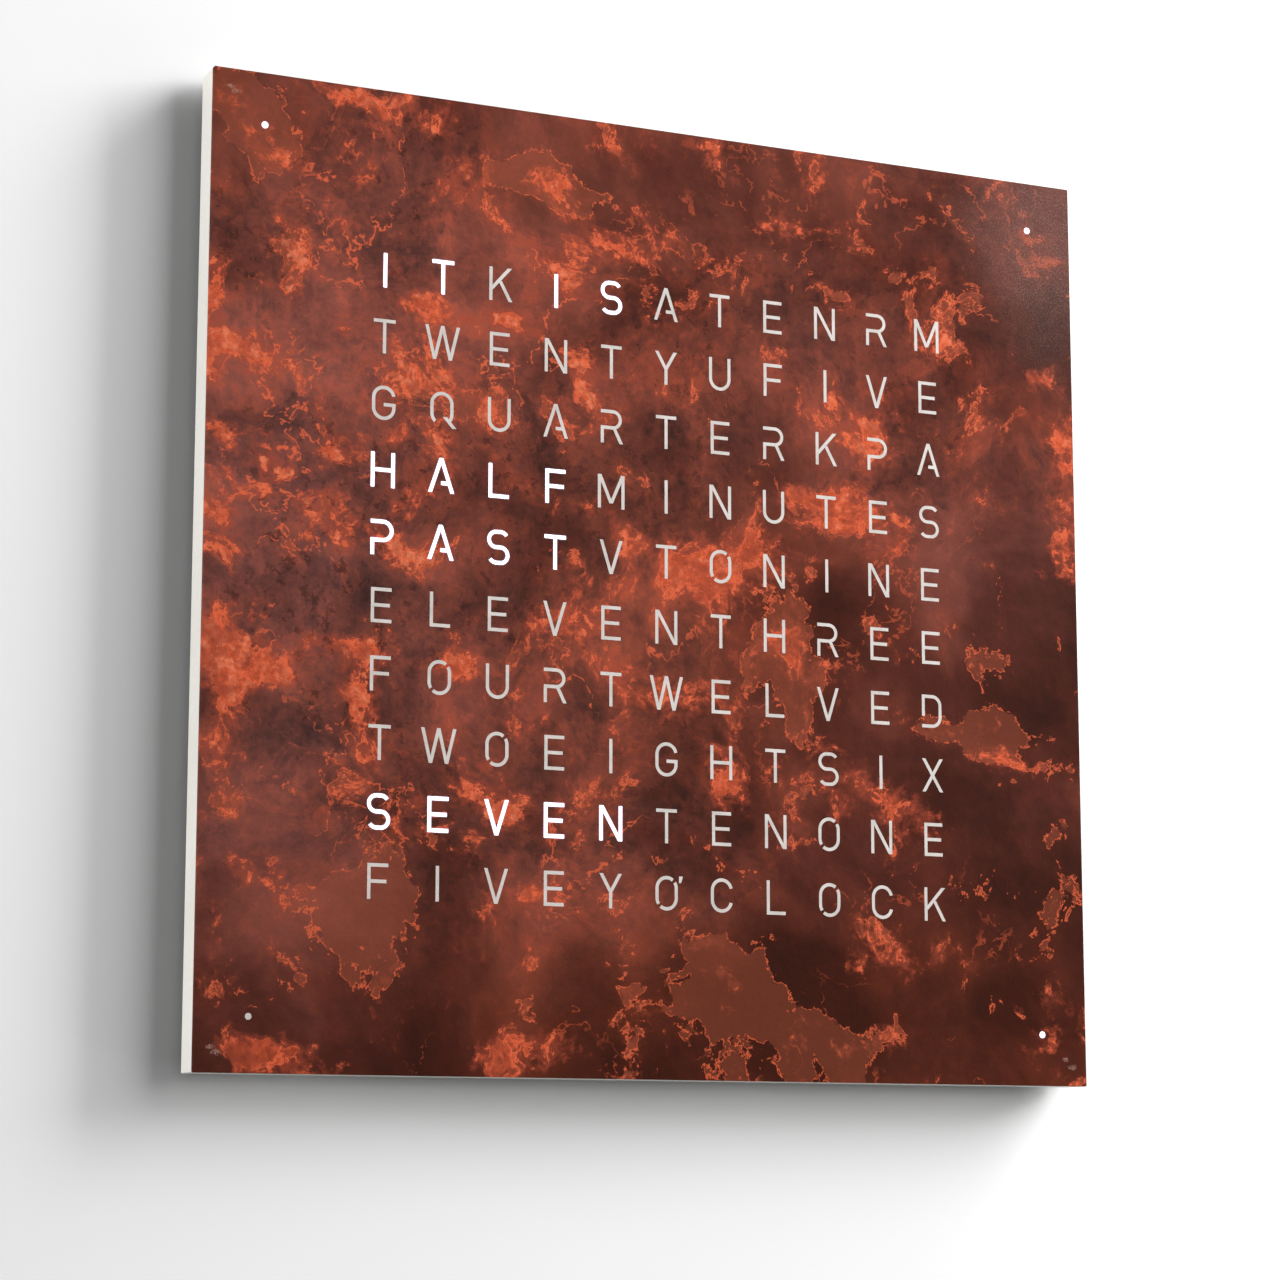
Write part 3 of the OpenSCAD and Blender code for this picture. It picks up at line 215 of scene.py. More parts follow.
# Rusted steel. Each patch is x, z, half width, half height in mm and its strength:
# above 0 for the bright orange crust, below 0 for the dark, bare steel.
rust = {
    "patches": [
        (-216, 8, 11, 24, 1.05), (-216, -52, 18, 28, 1.15), (-196, -46, 18, 9, 1.0),
        (-219, 122, 8, 24, 0.9), (-206, 100, 15, 8, 0.7), (-219, 66, 9, 28, 0.75),
        (-172, 58, 26, 6, 0.95), (-188, 47, 15, 7, 0.7), (-168, 24, 16, 10, 0.8),
        (-196, 30, 17, 10, 0.55), (-206, 198, 12, 20, 0.45), (-160, 218, 20, 6, 0.95),
        (-122, 213, 30, 9, 0.55), (-104, 192, 14, 10, 0.6), (-116, 124, 17, 7, 0.9),
        (-76, 124, 17, 7, 0.8), (-108, 86, 22, 7, 0.95), (-92, 74, 15, 8, 0.85),
        (-128, 36, 21, 7, 0.95), (-112, 48, 8, 13, 0.7), (-132, 14, 16, 7, 0.5),
        (-156, -34, 22, 6, 0.95), (-110, -36, 22, 6, 0.95), (-160, -60, 13, 28, 0.75),
        (-136, -92, 18, 22, 0.5), (-176, -108, 20, 9, 0.4), (-98, -70, 14, 24, 0.45),
        (-62, -140, 16, 15, 0.95), (-88, -104, 16, 14, 0.5), (-34, -4, 20, 14, 0.6),
        (-50, -20, 20, 12, 0.65), (2, 16, 22, 12, 0.85), (34, 18, 27, 20, 1.0),
        (58, 24, 14, 12, 0.85), (20, -8, 24, 14, 0.8), (70, -26, 20, 25, 0.8),
        (36, -40, 16, 14, 0.6), (30, -82, 15, 17, 1.1), (-6, -46, 22, 14, 0.6),
        (84, 58, 23, 17, 1.15), (106, 44, 21, 13, 1.05), (122, 28, 16, 8, 0.7),
        (112, 92, 14, 16, 0.5), (204, 122, 15, 7, 1.1), (196, 104, 24, 6, 0.4),
        (219, 74, 11, 36, 0.95), (217, 22, 11, 22, 0.75), (128, 122, 18, 10, 0.5),
        (162, -54, 27, 14, 0.75), (186, -68, 13, 8, 0.55), (112, -92, 18, 12, 0.75),
        (92, -70, 16, 10, 0.6), (132, -104, 18, 12, 0.55), (58, -214, 26, 10, 0.7),
        (100, -204, 26, 12, 0.55), (116, -164, 30, 12, 0.6), (196, -176, 18, 8, 0.6),
        (208, -200, 13, 14, 0.7), (-84, -215, 32, 9, 0.9), (-150, -192, 20, 14, 0.4),
        (-206, -216, 16, 8, 0.75), (-204, -150, 16, 20, 0.35), (-22, 172, 26, 8, 0.65),
        (-48, 196, 20, 12, 0.5), (64, 196, 20, 14, 0.4), (14, 218, 32, 6, 0.65),
        (16, 120, 12, 26, 0.35), (-40, 96, 10, 16, 0.45), (-70, 40, 10, 12, 0.5),
        (190, -22, 40, 30, -0.5), (196, -104, 40, 40, -0.6), (150, 14, 24, 10, -0.45),
        (-190, -86, 26, 26, -0.6), (-150, -168, 24, 24, -0.55), (-180, -196, 24, 12, -0.5),
        (-92, 6, 26, 12, -0.5), (-60, 60, 24, 20, -0.35), (40, 90, 40, 20, -0.3),
        (146, 196, 34, 16, -0.6), (184, 164, 24, 30, -0.45), (10, -150, 60, 26, -0.4),
        (-196, -10, 12, 40, -0.3), (-46, -190, 36, 14, -0.4), (150, -190, 40, 20, -0.4),
        (150, -132, 44, 14, -0.4), (0, 60, 44, 18, -0.2), (60, 140, 60, 20, -0.2),
        (-10, -112, 40, 16, -0.3), (80, 0, 12, 10, -0.3), (-184, -217, 24, 9, 1.3),
    ],
    # flat brown plates with a bright outline: x, z, half width, half height in mm
    "plates": [
        (34, -194, 30, 30), (72, -212, 34, 14), (-205, 200, 15, 27), (-148, -158, 18, 26),
        (-56, 196, 26, 10), (64, -28, 20, 28), (168, -52, 30, 12), (-100, 80, 24, 10),
    ],
    # broad light and dark of the ground: x, z, half width, half height in mm, amount
    "shades": [
        (-150, 90, 190, 190, 0.6), (60, 60, 150, 120, 0.35), (190, -150, 190, 150, -1.2),
        (0, -220, 260, 90, -0.5), (200, -10, 90, 80, -1.1), (190, 200, 110, 60, -0.3),
        (212, 70, 50, 60, 0.9), (-20, 205, 130, 52, -1.1), (-180, -190, 120, 90, -1.0),
        (-214, 214, 60, 56, -1.3), (90, 0, 62, 60, -1.4), (180, -180, 84, 84, -0.8),
        (90, -180, 72, 62, -0.8), (0, -215, 290, 70, -0.9), (212, 60, 70, 190, -1.0),
        (-180, 0, 72, 76, 0.9), (90, -90, 62, 62, -0.6), (-90, 135, 92, 62, -0.4),
        (62, 10, 56, 150, -1.1), (132, 0, 60, 56, -1.6), (150, -66, 70, 60, -0.6),
        (190, -184, 84, 70, -0.7), (60, -192, 64, 52, -0.9), (-125, 190, 52, 46, 0.9),
        (90, 195, 90, 50, -0.6), (-125, -186, 60, 50, 0.5),
    ],
    # where the ground is pinker, above 0, or browner, below 0
    "casts": [
        (-190, 0, 140, 270, 0.6), (60, -225, 270, 100, -0.8), (200, -190, 130, 100, -0.4),
        (20, -20, 120, 120, -0.3), (200, 20, 90, 60, 0.5),
    ],
    "castTints": [
        (0.0, (1.03, 0.90, 0.70, 1)), (0.5, (1, 1, 1, 1)), (1.0, (0.99, 1.16, 1.34, 1))],
    "ground": [
        (0.38, srgb(58, 24, 16)), (0.45, srgb(86, 40, 30)), (0.50, srgb(112, 56, 44)),
        (0.55, srgb(131, 67, 54)), (0.62, srgb(152, 80, 64))],
    # what the small light and dark does to the ground: redder when lighter
    "layers": [
        (0.38, (0.30, 0.46, 0.60, 1)), (0.50, (1, 1, 1, 1)), (0.62, (1.95, 1.52, 1.20, 1))],
    "warmGround": srgb(158, 70, 50),
    "crust": [
        (0.38, srgb(148, 62, 40)), (0.46, srgb(182, 77, 48)), (0.54, srgb(205, 90, 58)),
        (0.64, srgb(232, 128, 92))],
    "rim": srgb(226, 102, 66),
    "plate": srgb(150, 76, 54),
    "pit": srgb(52, 27, 23),
    # painted sheen of the upper right corner: its grey and its lighter specks
    "greySheen": srgb(86, 66, 61),
    "sheenSpeck": srgb(132, 112, 106),
    # painted highlights: small pale spots over the studs stand in for light caught by the weld
    # dimples there; x, z, half width, half height in mm
    "studHighlights": [
        (-217, 216.6, 2.6, 1.3), (-214.2, 214.6, 2.6, 1.4), (-217.4, -213.8, 2.4, 1.2),
        (-215.2, -216.2, 3.0, 1.3), (213.2, -212.6, 2.2, 1.4), (217, -216, 2.8, 1.5)],
    # the colour of the painted highlights over the studs
    "studHighlight": srgb(170, 132, 120),
    "sheenAt": (216, 192),
    "sheenHalf": (78, 92),
    # how much larger than the table says the ellipses are drawn, as their rims are faint
    "grow": {"patches": 1.5, "plates": 1.4, "studHighlights": 1.2},
    # folds of the place: waves per metre, reach in metres, detail
    "folds": {
        "broad": (9.0, 0.05, 3.0), "bent": (28.0, 0.026, 4.0), "ragged": (110.0, 0.007, 4.0),
        "smeared": (400.0, 0.003, 3.0)},
    # noises: the place they are read at, waves per metre, detail, roughness
    "noises": {
        "clouds": ("broad", 10.0, 4.0, 0.6), "middling": ("bent", 36.0, 6.0, 0.64),
        "fine": ("plain", 260.0, 3.5, 0.6), "grain": ("plain", 1150.0, 2.0, 0.6),
        "upper": ("ragged", 21.0, 6.0, 0.64), "lower": ("bent", 52.0, 5.0, 0.64),
        "pits": ("plain", 170.0, 4.0, 0.66), "flakes": ("ragged", 120.0, 5.0, 0.66),
        "curls": ("ragged", 46.0, 5.0, 0.6), "zone": ("broad", 13.0, 3.0),
        "veins": ("ragged", 16.0, 5.0, 0.6)},
    # what adds up to the level of the crust, to the ground and to its thin layers
    "weights": {
        "level": {"patches": 0.50, "shade": 0.04, "clouds": 0.4, "middling": 2.3, "fine": 0.55},
        "ground": {"shade": 0.05, "clouds": 0.45},
        "layers": {
            "patches": 0.06, "middling": 0.34, "fine": 0.14, "upper": 0.045, "lower": 0.035},
        "plates": {"plates": 1.0, "middling": 2.6},
        "crust": {"fine": 0.55, "middling": 0.45, "shade": 0.05}},
    # where each part of the rust starts and where it is full
    "edges": {
        "upper": (0.485, 0.525), "lower": (0.49, 0.54), "warmGround": (0.08, 0.40),
        "lively": (-0.8, 0.3, 0.4, 1.0), "pits": (0.56, 0.64), "pitClouds": (0.62, 0.40),
        "plates": (0.27, 0.36), "outlineFine": (0.40, 0.5), "crust": (0.385, 0.42),
        "flakes": (0.44, 0.56), "curlLevel": (0.16, 0.34), "zone": (0.50, 0.58),
        "veinFine": (0.42, 0.5), "speck": (0.46, 0.64), "sheen": (0.0, 0.85),
        "sheenSmooth": (0.0, 0.8), "studHighlights": (0.1, 0.6), "studHighlightGrain": (0.35, 0.6)},
    # thin lines: the value they follow, and how far from it they are full and gone
    "lines": {
        "outline": (0.30, 0.005, 0.035), "rim": (0.41, 0.01, 0.04), "curls": (0.5, 0.004, 0.028),
        "veins": (0.5, 0.002, 0.009)},
    # how much of what lies under it each part covers; a pair is a base and what a noise adds
    "covers": {
        "warmGround": 0.6, "pits": 0.6, "plates": 0.35, "outline": 0.75, "crust": (0.38, 0.5),
        "rim": 0.7, "curls": (0.25, 0.5), "veins": 0.75, "sheen": (0.15, 0.5), "studHighlights": 0.65,
        "fleck": 0.15},
    "fleck": [(0.3, (0.70, 0.68, 0.66, 1)), (0.5, (1, 1, 1, 1)), (0.7, (1.3, 1.25, 1.2, 1))],
    # roughness: in general, less in the sheen, more on the crust
    "roughness": (0.86, -0.26, 0.08),
    "specular": 0.06,
    # where the crust's stops are read when nothing is added
    "crustMiddle": 0.488,
    # relief: shares of fine and grain, depth in metres, strength
    "relief": (0.8, 0.2, 0.0005, 0.5),
    # painted glow on the steel beside a lit cut, standing in for the letters' light spilling over:
    # how far it reaches, how soft a cell's border is, the samples taken, and how far the eased
    # normal turns until the glow is full
    "halo": {"reach": 0.7 * mm, "edge": 0.5 * mm, "samples": 3, "full": 0.2},
}


def ellipse(finish, at, x, z, halfX, halfZ):
    # 1 in the middle of an upright ellipse in mm, falling evenly to 0 at its edge
    local = finish.node("ShaderNodeMapping", {"vector_type": "TEXTURE"}, {
        "Vector": at, "Location": (x * mm, frontY, z * mm),
        "Scale": (halfX * mm, 1.0, halfZ * mm)})
    return finish.node(
        "ShaderNodeTexGradient", {"gradient_type": "SPHERICAL"}, {0: local}, output=1)


def addedUp(finish, at, rows, grow=1.0, start=0.0):
    # the sum of many ellipses, each with its own amount
    total = start
    for x, z, halfX, halfZ, amount in rows:
        total = ellipse(finish, at, x, z, halfX * grow, halfZ * grow) * amount + total
    return total


def highestOf(finish, at, rows, grow):
    highest = 0.0
    for x, z, halfX, halfZ in rows:
        highest = ellipse(finish, at, x, z, halfX * grow, halfZ * grow).largest(highest)
    return highest


def nearEdges(finish, reach, samples, full):
    # 1 on the steel right at a cut or an edge, 0 from reach onwards
    eased = finish.node("ShaderNodeBevel", {"samples": samples}, {"Radius": reach})
    flat = finish.node("ShaderNodeNewGeometry", output="True Normal")
    agree = finish.node(
        "ShaderNodeVectorMath", {"operation": "DOT_PRODUCT"}, {0: eased, 1: flat}, output=1)
    return finish.rise(1 - agree, 0.0, full)


def rustedSteel():
    finish = newFinish("rustedSteel")
    covers, grow = rust["covers"], rust["grow"]
    plain = finish.place()
    broad = finish.folded(plain, *rust["folds"]["broad"])
    bent = finish.folded(broad, *rust["folds"]["bent"])
    ragged = finish.folded(bent, *rust["folds"]["ragged"])
    smeared = finish.folded(plain, *rust["folds"]["smeared"])
    places = {"plain": plain, "broad": broad, "bent": bent, "ragged": ragged}
    noise = {name: finish.noise(places[place], *numbers)
             for name, (place, *numbers) in rust["noises"].items()}

    def edge(value, name):
        return finish.rise(value, *rust["edges"][name])

    def line(value, name):
        followed, full, gone = rust["lines"][name]
        return 1 - finish.rise(abs(value - followed), full, gone)

    parts = {name: noise[name] - 0.5 for name in ("clouds", "middling", "fine")}
    parts["upper"] = edge(noise["upper"], "upper") - 0.5
    parts["lower"] = edge(noise["lower"], "lower") - 0.5
    parts["patches"] = addedUp(finish, ragged, rust["patches"], grow["patches"])
    parts["shade"] = addedUp(finish, broad, rust["shades"])
    parts["plates"] = highestOf(finish, ragged, rust["plates"], grow["plates"])

    def weighed(name):
        return sum(parts[part] * weight for part, weight in rust["weights"][name].items())

    level = weighed("level")

    # ground: from dark to light brown with the clouds, tinted by the casts, then thin layers
    # with ragged edges, which stand out less where the ground is dark
    colour = finish.ramp(weighed("ground") + 0.5, rust["ground"])
    cast = addedUp(finish, broad, rust["casts"], start=0.5)
    colour = finish.blend(1.0, colour, finish.ramp(cast, rust["castTints"]), "MULTIPLY")
    lively = edge(parts["shade"], "lively")
    layers = finish.ramp(weighed("layers") * lively + 0.5, rust["layers"])
    colour = finish.blend(1.0, colour, layers, "MULTIPLY")
    warm = edge(level, "warmGround") * covers["warmGround"]
    colour = finish.blend(warm, colour, rust["warmGround"])

    # pits of bare dark steel
    pits = edge(noise["pits"], "pits") * edge(noise["clouds"], "pitClouds") * lively
    colour = finish.blend(pits * covers["pits"], colour, rust["pit"])

    # plates: evenly brown, with a thin bright outline
    plates = weighed("plates")
    colour = finish.blend(edge(plates, "plates") * covers["plates"], colour, rust["plate"])
    outline = line(plates, "outline") * edge(noise["fine"], "outlineFine")
    colour = finish.blend(outline * covers["outline"], colour, rust["rim"])

    # crust: orange where the level is high, torn into flakes with a brighter rim
    crust, flakes = edge(level, "crust"), edge(noise["flakes"], "flakes")
    base, added = covers["crust"]
    crustColour = finish.ramp(weighed("crust") + rust["crustMiddle"], rust["crust"])
    colour = finish.blend(crust * (base + added * flakes), colour, crustColour)
    colour = finish.blend(line(level, "rim") * flakes * covers["rim"], colour, rust["rim"])

    # curled ridges in and round the crust
    base, added = covers["curls"]
    curls = line(noise["curls"], "curls") * edge(level, "curlLevel")
    colour = finish.blend(curls * (base + added * flakes), colour, rust["rim"])

    # thin veins that wander over the ground
    veins = line(noise["veins"], "veins") * edge(noise["zone"], "zone")
    veins = veins * edge(noise["fine"], "veinFine") * lively
    colour = finish.blend(veins * covers["veins"], colour, rust["rim"])

    # painted sheen: a grey, speckled colour in the upper right corner stands in for light reflected
    # there; the roughness is also lower there
    base, added = covers["sheen"]
    sheen = ellipse(finish, ragged, *rust["sheenAt"], *rust["sheenHalf"])
    speck = finish.blend(edge(noise["grain"], "speck"), rust["greySheen"], rust["sheenSpeck"])
    share = edge(sheen, "sheen") * (base + added * noise["fine"])
    colour = finish.blend(share, colour, speck)

    # painted highlights over the studs, where the weld dimples catch the light
    studHighlights = edge(highestOf(finish, smeared, rust["studHighlights"], grow["studHighlights"]), "studHighlights")
    studHighlights = studHighlights * edge(noise["grain"], "studHighlightGrain")
    colour = finish.blend(studHighlights * covers["studHighlights"], colour, rust["studHighlight"])

    # fine grain over all
    fleck = finish.ramp(noise["grain"], rust["fleck"])
    colour = finish.blend(covers["fleck"], colour, fleck, "MULTIPLY")

    # painted glow: the steel beside the lit letters glows, standing in for their light spilling
    # over the edges
    halo = rust["halo"]
    near = nearEdges(finish, halo["reach"], halo["samples"], halo["full"])
    near = near * litCells(finish, plain, halo["edge"])
    glow = finish.blend(near, (0, 0, 0, 1), opal["light"])

    general, inSheen, onCrust = rust["roughness"]
    fineShare, grainShare, depth, strength = rust["relief"]
    return finish.close(finish.surface(
        colour=colour,
        roughness=general + inSheen * edge(sheen, "sheenSmooth") + onCrust * crust,
        specular=rust["specular"], glow=glow, glowStrength=1.0,
        normal=finish.bump(
            noise["fine"] * fineShare + noise["grain"] * grainShare, depth, strength)))


def litCells(finish, at, soft):
    # 1 over the lit cells and dots, 0 elsewhere, with an edge that is soft metres wide
    field = letterField
    x, z = [finish.node("ShaderNodeSeparateXYZ", {}, {0: at}, output=axis) for axis in (0, 2)]
    cells = []
    for row, first, last in field["litRuns"]:
        middleX = ((first + last) / 2 - (field["columns"] - 1) / 2) * field["columnPitch"]
        middleZ = ((field["rows"] - 1) / 2 - row) * field["rowPitch"]
        halfX = (last - first + 1) * field["columnPitch"] / 2
        cells.append((middleX, middleZ, halfX, field["rowPitch"] / 2, soft))
    for sideX, sideZ in field["litDots"]:
        half = field["dotCellHalf"]
        cells.append((sideX * field["dotAt"], sideZ * field["dotAt"], half, half, soft / 2))
    lit = 0.0
    for middleX, middleZ, halfX, halfZ, edge in cells:
        across = 1 - finish.rise(abs(x - middleX), halfX - edge, halfX)
        along = 1 - finish.rise(abs(z - middleZ), halfZ - edge, halfZ)
        lit = (across * along).largest(lit)
    return lit


# The opal resin in the cuts and the opal sheet behind: colour stops, the mottle's waves per
# metre and detail, roughness and what the mottle adds to it, glow, the lit cells' soft edge
opal = {
    "light": (0.86, 0.80, 1.0, 1.0),
    "resin": {
        "stops": [
            (0.3, srgb(189, 181, 175)), (0.5, srgb(201, 193, 187)), (0.75, srgb(213, 205, 200))],
        "mottle": (160.0, 3.0), "roughness": (0.42, 0.15), "glowStrength": 2.4,
        "edge": 0.2 * mm, "depth": 0.0001},
    "sheet": {
        "stops": [(0.3, srgb(218, 218, 214)), (0.7, srgb(226, 226, 222))],
        "mottle": (90.0, 4.0), "roughness": (0.5, 0.1), "glowStrength": 1.1,
        "edge": 9.0 * mm, "depth": 0.00005},
}


def opalFinish(name, look):
    finish = newFinish(name)
    at = finish.place()
    mottle = finish.noise(at, *look["mottle"])
    glow = finish.blend(litCells(finish, at, look["edge"]), (0, 0, 0, 1), opal["light"])
    base, added = look["roughness"]
    return finish.close(finish.surface(
        colour=finish.ramp(mottle, look["stops"]), roughness=base + added * mottle,
        glow=glow, glowStrength=look["glowStrength"],
        normal=finish.bump(mottle, look["depth"])))


# Plain finishes: colour and its darker mate, roughness, grain per metre and its depth in
# metres, and where the grain runs one way, its stretch along x, y and z
plainFinishes = {
    "white_shell": {
        "colour": srgb(231, 229, 222), "deep": srgb(222, 219, 211), "roughness": 0.42,
        "grain": 900, "depth": 0.00004},
    "black_plastic": {
        "colour": srgb(34, 34, 36), "deep": srgb(24, 24, 26), "roughness": 0.55,
        "grain": 1400, "depth": 0.00008},
    "coated_sheet": {
        "colour": srgb(206, 206, 202), "deep": srgb(194, 194, 190), "roughness": 0.5,
        "grain": 1100, "depth": 0.00012},
    "chassis_aluminium": {
        "colour": srgb(196, 199, 203), "deep": srgb(168, 171, 176), "roughness": 0.35,
        "metallic": 1.0, "grain": 60, "stretch": (1, 1, 30), "depth": 0.00003},
    "zinc_steel": {
        "colour": srgb(196, 198, 200), "deep": srgb(150, 153, 158), "roughness": 0.3,
        "metallic": 1.0, "grain": 700, "depth": 0.00003},
    "hanger_steel": {
        "colour": srgb(172, 175, 180), "deep": srgb(128, 131, 137), "roughness": 0.34,
        "metallic": 1.0, "grain": 90, "stretch": (1, 1, 26), "depth": 0.00004},
    "nickel": {
        "colour": srgb(205, 204, 202), "deep": srgb(176, 174, 172), "roughness": 0.18,
        "metallic": 1.0, "grain": 300, "depth": 0.00001},
    "brass": {
        "colour": srgb(205, 176, 96), "deep": srgb(170, 138, 66), "roughness": 0.28,
        "metallic": 1.0, "grain": 500, "depth": 0.00002},
    "led_board_white": {
        "colour": srgb(236, 236, 230), "deep": srgb(214, 214, 206), "roughness": 0.3,
        "grain": 500, "depth": 0.00002},
    "board_green": {
        "colour": srgb(24, 92, 52), "deep": srgb(12, 62, 34), "roughness": 0.3,
        "grain": 240, "depth": 0.00004},
    "chip_black": {
        "colour": srgb(34, 34, 35), "deep": srgb(22, 22, 23), "roughness": 0.6,
        "grain": 1600, "depth": 0.00004},
    "led_resin": {
        "colour": srgb(240, 226, 160), "deep": srgb(222, 200, 120), "roughness": 0.2,
        "grain": 400, "depth": 0.00001},
    "capacitor_tan": {
        "colour": srgb(206, 160, 78), "deep": srgb(184, 138, 60), "roughness": 0.4,
        "grain": 900, "depth": 0.00003},
    "connector_cream": {
        "colour": srgb(236, 230, 208), "deep": srgb(222, 214, 188), "roughness": 0.45,
        "grain": 900, "depth": 0.00003},
    "ribbon_grey": {
        "colour": srgb(150, 150, 156), "deep": srgb(112, 112, 120), "roughness": 0.5,
        "grain": 180, "stretch": (6, 1, 0.02), "depth": 0.0001},
    "lead_red": {
        "colour": srgb(190, 40, 34), "deep": srgb(150, 26, 22), "roughness": 0.45,
        "grain": 400, "depth": 0.00003},
    "button_white": {
        "colour": srgb(222, 220, 213), "deep": srgb(208, 205, 197), "roughness": 0.3,
        "grain": 800, "depth": 0.00002},
    "plunger_red": {
        "colour": srgb(196, 88, 60), "deep": srgb(168, 68, 46), "roughness": 0.5,
        "grain": 900, "depth": 0.00003},
}


# In a plain finish: the clouds' waves per metre, detail and roughness, the grain's detail
# and roughness, where their mean turns the colour, and how much each varies the roughness
plainSpread = {
    "clouds": (14.0, 4.0, 0.55), "grain": (3.0, 0.6), "turns": (0.35, 0.65),
    "byGrain": 0.1, "byClouds": 0.06,
}


def plainFinish(name, look):
    finish = newFinish(name)
    at = finish.place()
    grainPlace = finish.stretched(at, look["stretch"]) if "stretch" in look else at
    grain = finish.noise(grainPlace, look["grain"], *plainSpread["grain"])
    cloud = finish.noise(at, *plainSpread["clouds"])
    byGrain, byClouds = plainSpread["byGrain"], plainSpread["byClouds"]
    share = finish.rise(cloud * 0.5 + grain * 0.5, *plainSpread["turns"])
    return finish.close(finish.surface(
        colour=finish.blend(share, look["deep"], look["colour"]),
        metallic=look.get("metallic", 0.0),
        roughness=look["roughness"] - (byGrain + byClouds) / 2 + grain * byGrain + cloud * byClouds,
        normal=finish.bump(grain, look["depth"])))


# The clear window of the light sensor: haze per metre and detail, roughness and what the
# haze adds to it
window = {
    "colour": srgb(236, 242, 244), "haze": (500.0, 2.0), "roughness": (0.05, 0.08),
    "clear": 0.85, "ior": 1.49, "depth": 0.00001,
}


def clearWindow():
    finish = newFinish("clearWindow")
    haze = finish.noise(finish.place(), *window["haze"])
    base, added = window["roughness"]
    return finish.close(finish.surface(
        colour=window["colour"], roughness=base + added * haze, clear=window["clear"],
        ior=window["ior"], normal=finish.bump(haze, window["depth"])))


finishes = {slot: plainFinish(slot, look) for slot, look in plainFinishes.items()}
finishes["rusted_steel"] = rustedSteel()
finishes["opal_resin"] = opalFinish("opalResin", opal["resin"])
finishes["opal_sheet"] = opalFinish("opalSheet", opal["sheet"])
finishes["window_clear"] = clearWindow()
slotOf = {row["node"]: row["material_slot"] for row in frame["record"]["subparts"]}


def wear(piece, material):
    piece.data.materials.clear()
    piece.data.materials.append(material)


for nodeName, piece in frame["nodes"].items():
    wear(piece, finishes[slotOf[nodeName]])
print("finishes made:", len(finishes))


def gridFaces(across, along):
    # corner numbers of the faces of a grid of points that is closed round its second parameter
    i = np.arange(across - 1)[:, None]
    j = np.arange(along)[None, :]
    k = (j + 1) % along
    corners = np.broadcast_arrays(
        i * along + j, i * along + k, (i + 1) * along + k, (i + 1) * along + j)
    return np.stack(corners).reshape(4, -1).T


weldWithin = 0.001 * mm


def pieceFrom(name, grids, body, slot, replaced):
    # grids is a list of point grids, each closed round its second parameter
    points, faces, count = [], [], 0
    for grid in grids:
        faces.append(gridFaces(*grid.shape[:2]) + count)
        points.append(grid.reshape(-1, 3))
        count += len(points[-1])
    points, faces = np.concatenate(points), np.concatenate(faces)
    mesh = bpy.data.meshes.new(name)
    mesh.from_pydata(points.tolist(), [], faces.tolist())
    shape = bmesh.new()
    shape.from_mesh(mesh)
    bmesh.ops.remove_doubles(shape, verts=shape.verts, dist=weldWithin)
    bmesh.ops.recalc_face_normals(shape, faces=shape.faces)
    shape.to_mesh(mesh)
    shape.free()
    piece = bpy.data.objects.new(name, mesh)
    bpy.context.scene.collection.objects.link(piece)
    wear(piece, finishes[slot])
    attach(piece, body)
    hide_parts(*replaced)


# Pan and flat screws with a cross recess, in mm. Height 0 is the head's seat, and a head
# of no height is countersunk.
panScrew = {
    "headRadius": 2.75, "headHeight": 1.8, "shankRadius": 1.5, "length": 4.1,
    "crossReach": 1.55, "crossWidth": 0.36, "crossDepth": 0.9, "turnEach": 0.7,
    # where the four on each side of the rear cover's flange stand
    "alongSide": (-140, -50, 50, 140),
}
wellScrew = {
    "headRadius": 1.8, "headHeight": 0.0, "shankRadius": 1.0, "length": 3.3,
    "crossReach": 1.05, "crossWidth": 0.25, "crossDepth": 0.6, "turnEach": 0.9, "turn": 0.4,
}
sheetScrew = {
    "headRadius": 2.75, "headHeight": 0.0, "shankRadius": 1.5,
    "crossReach": 1.5, "crossWidth": 0.36, "crossDepth": 0.9, "turnEach": 0.5,
}
# What all heads share: the rings' shares of the radius, points round, how much of the height
# the dome takes and its power, the width in mm over which the cross fades at its bars' sides
# and ends, and the tip's bevel in mm
headShape = {
    "rings": [0.0, 0.1, 0.16, 0.24, 0.34, 0.44, 0.52, 0.6, 0.72, 0.84, 0.93, 1.0],
    "steps": 32, "domeShare": 0.45, "domePower": 2.6, "sideFade": 0.12, "endFade": 0.25,
    "tipBevel": 0.3,
}


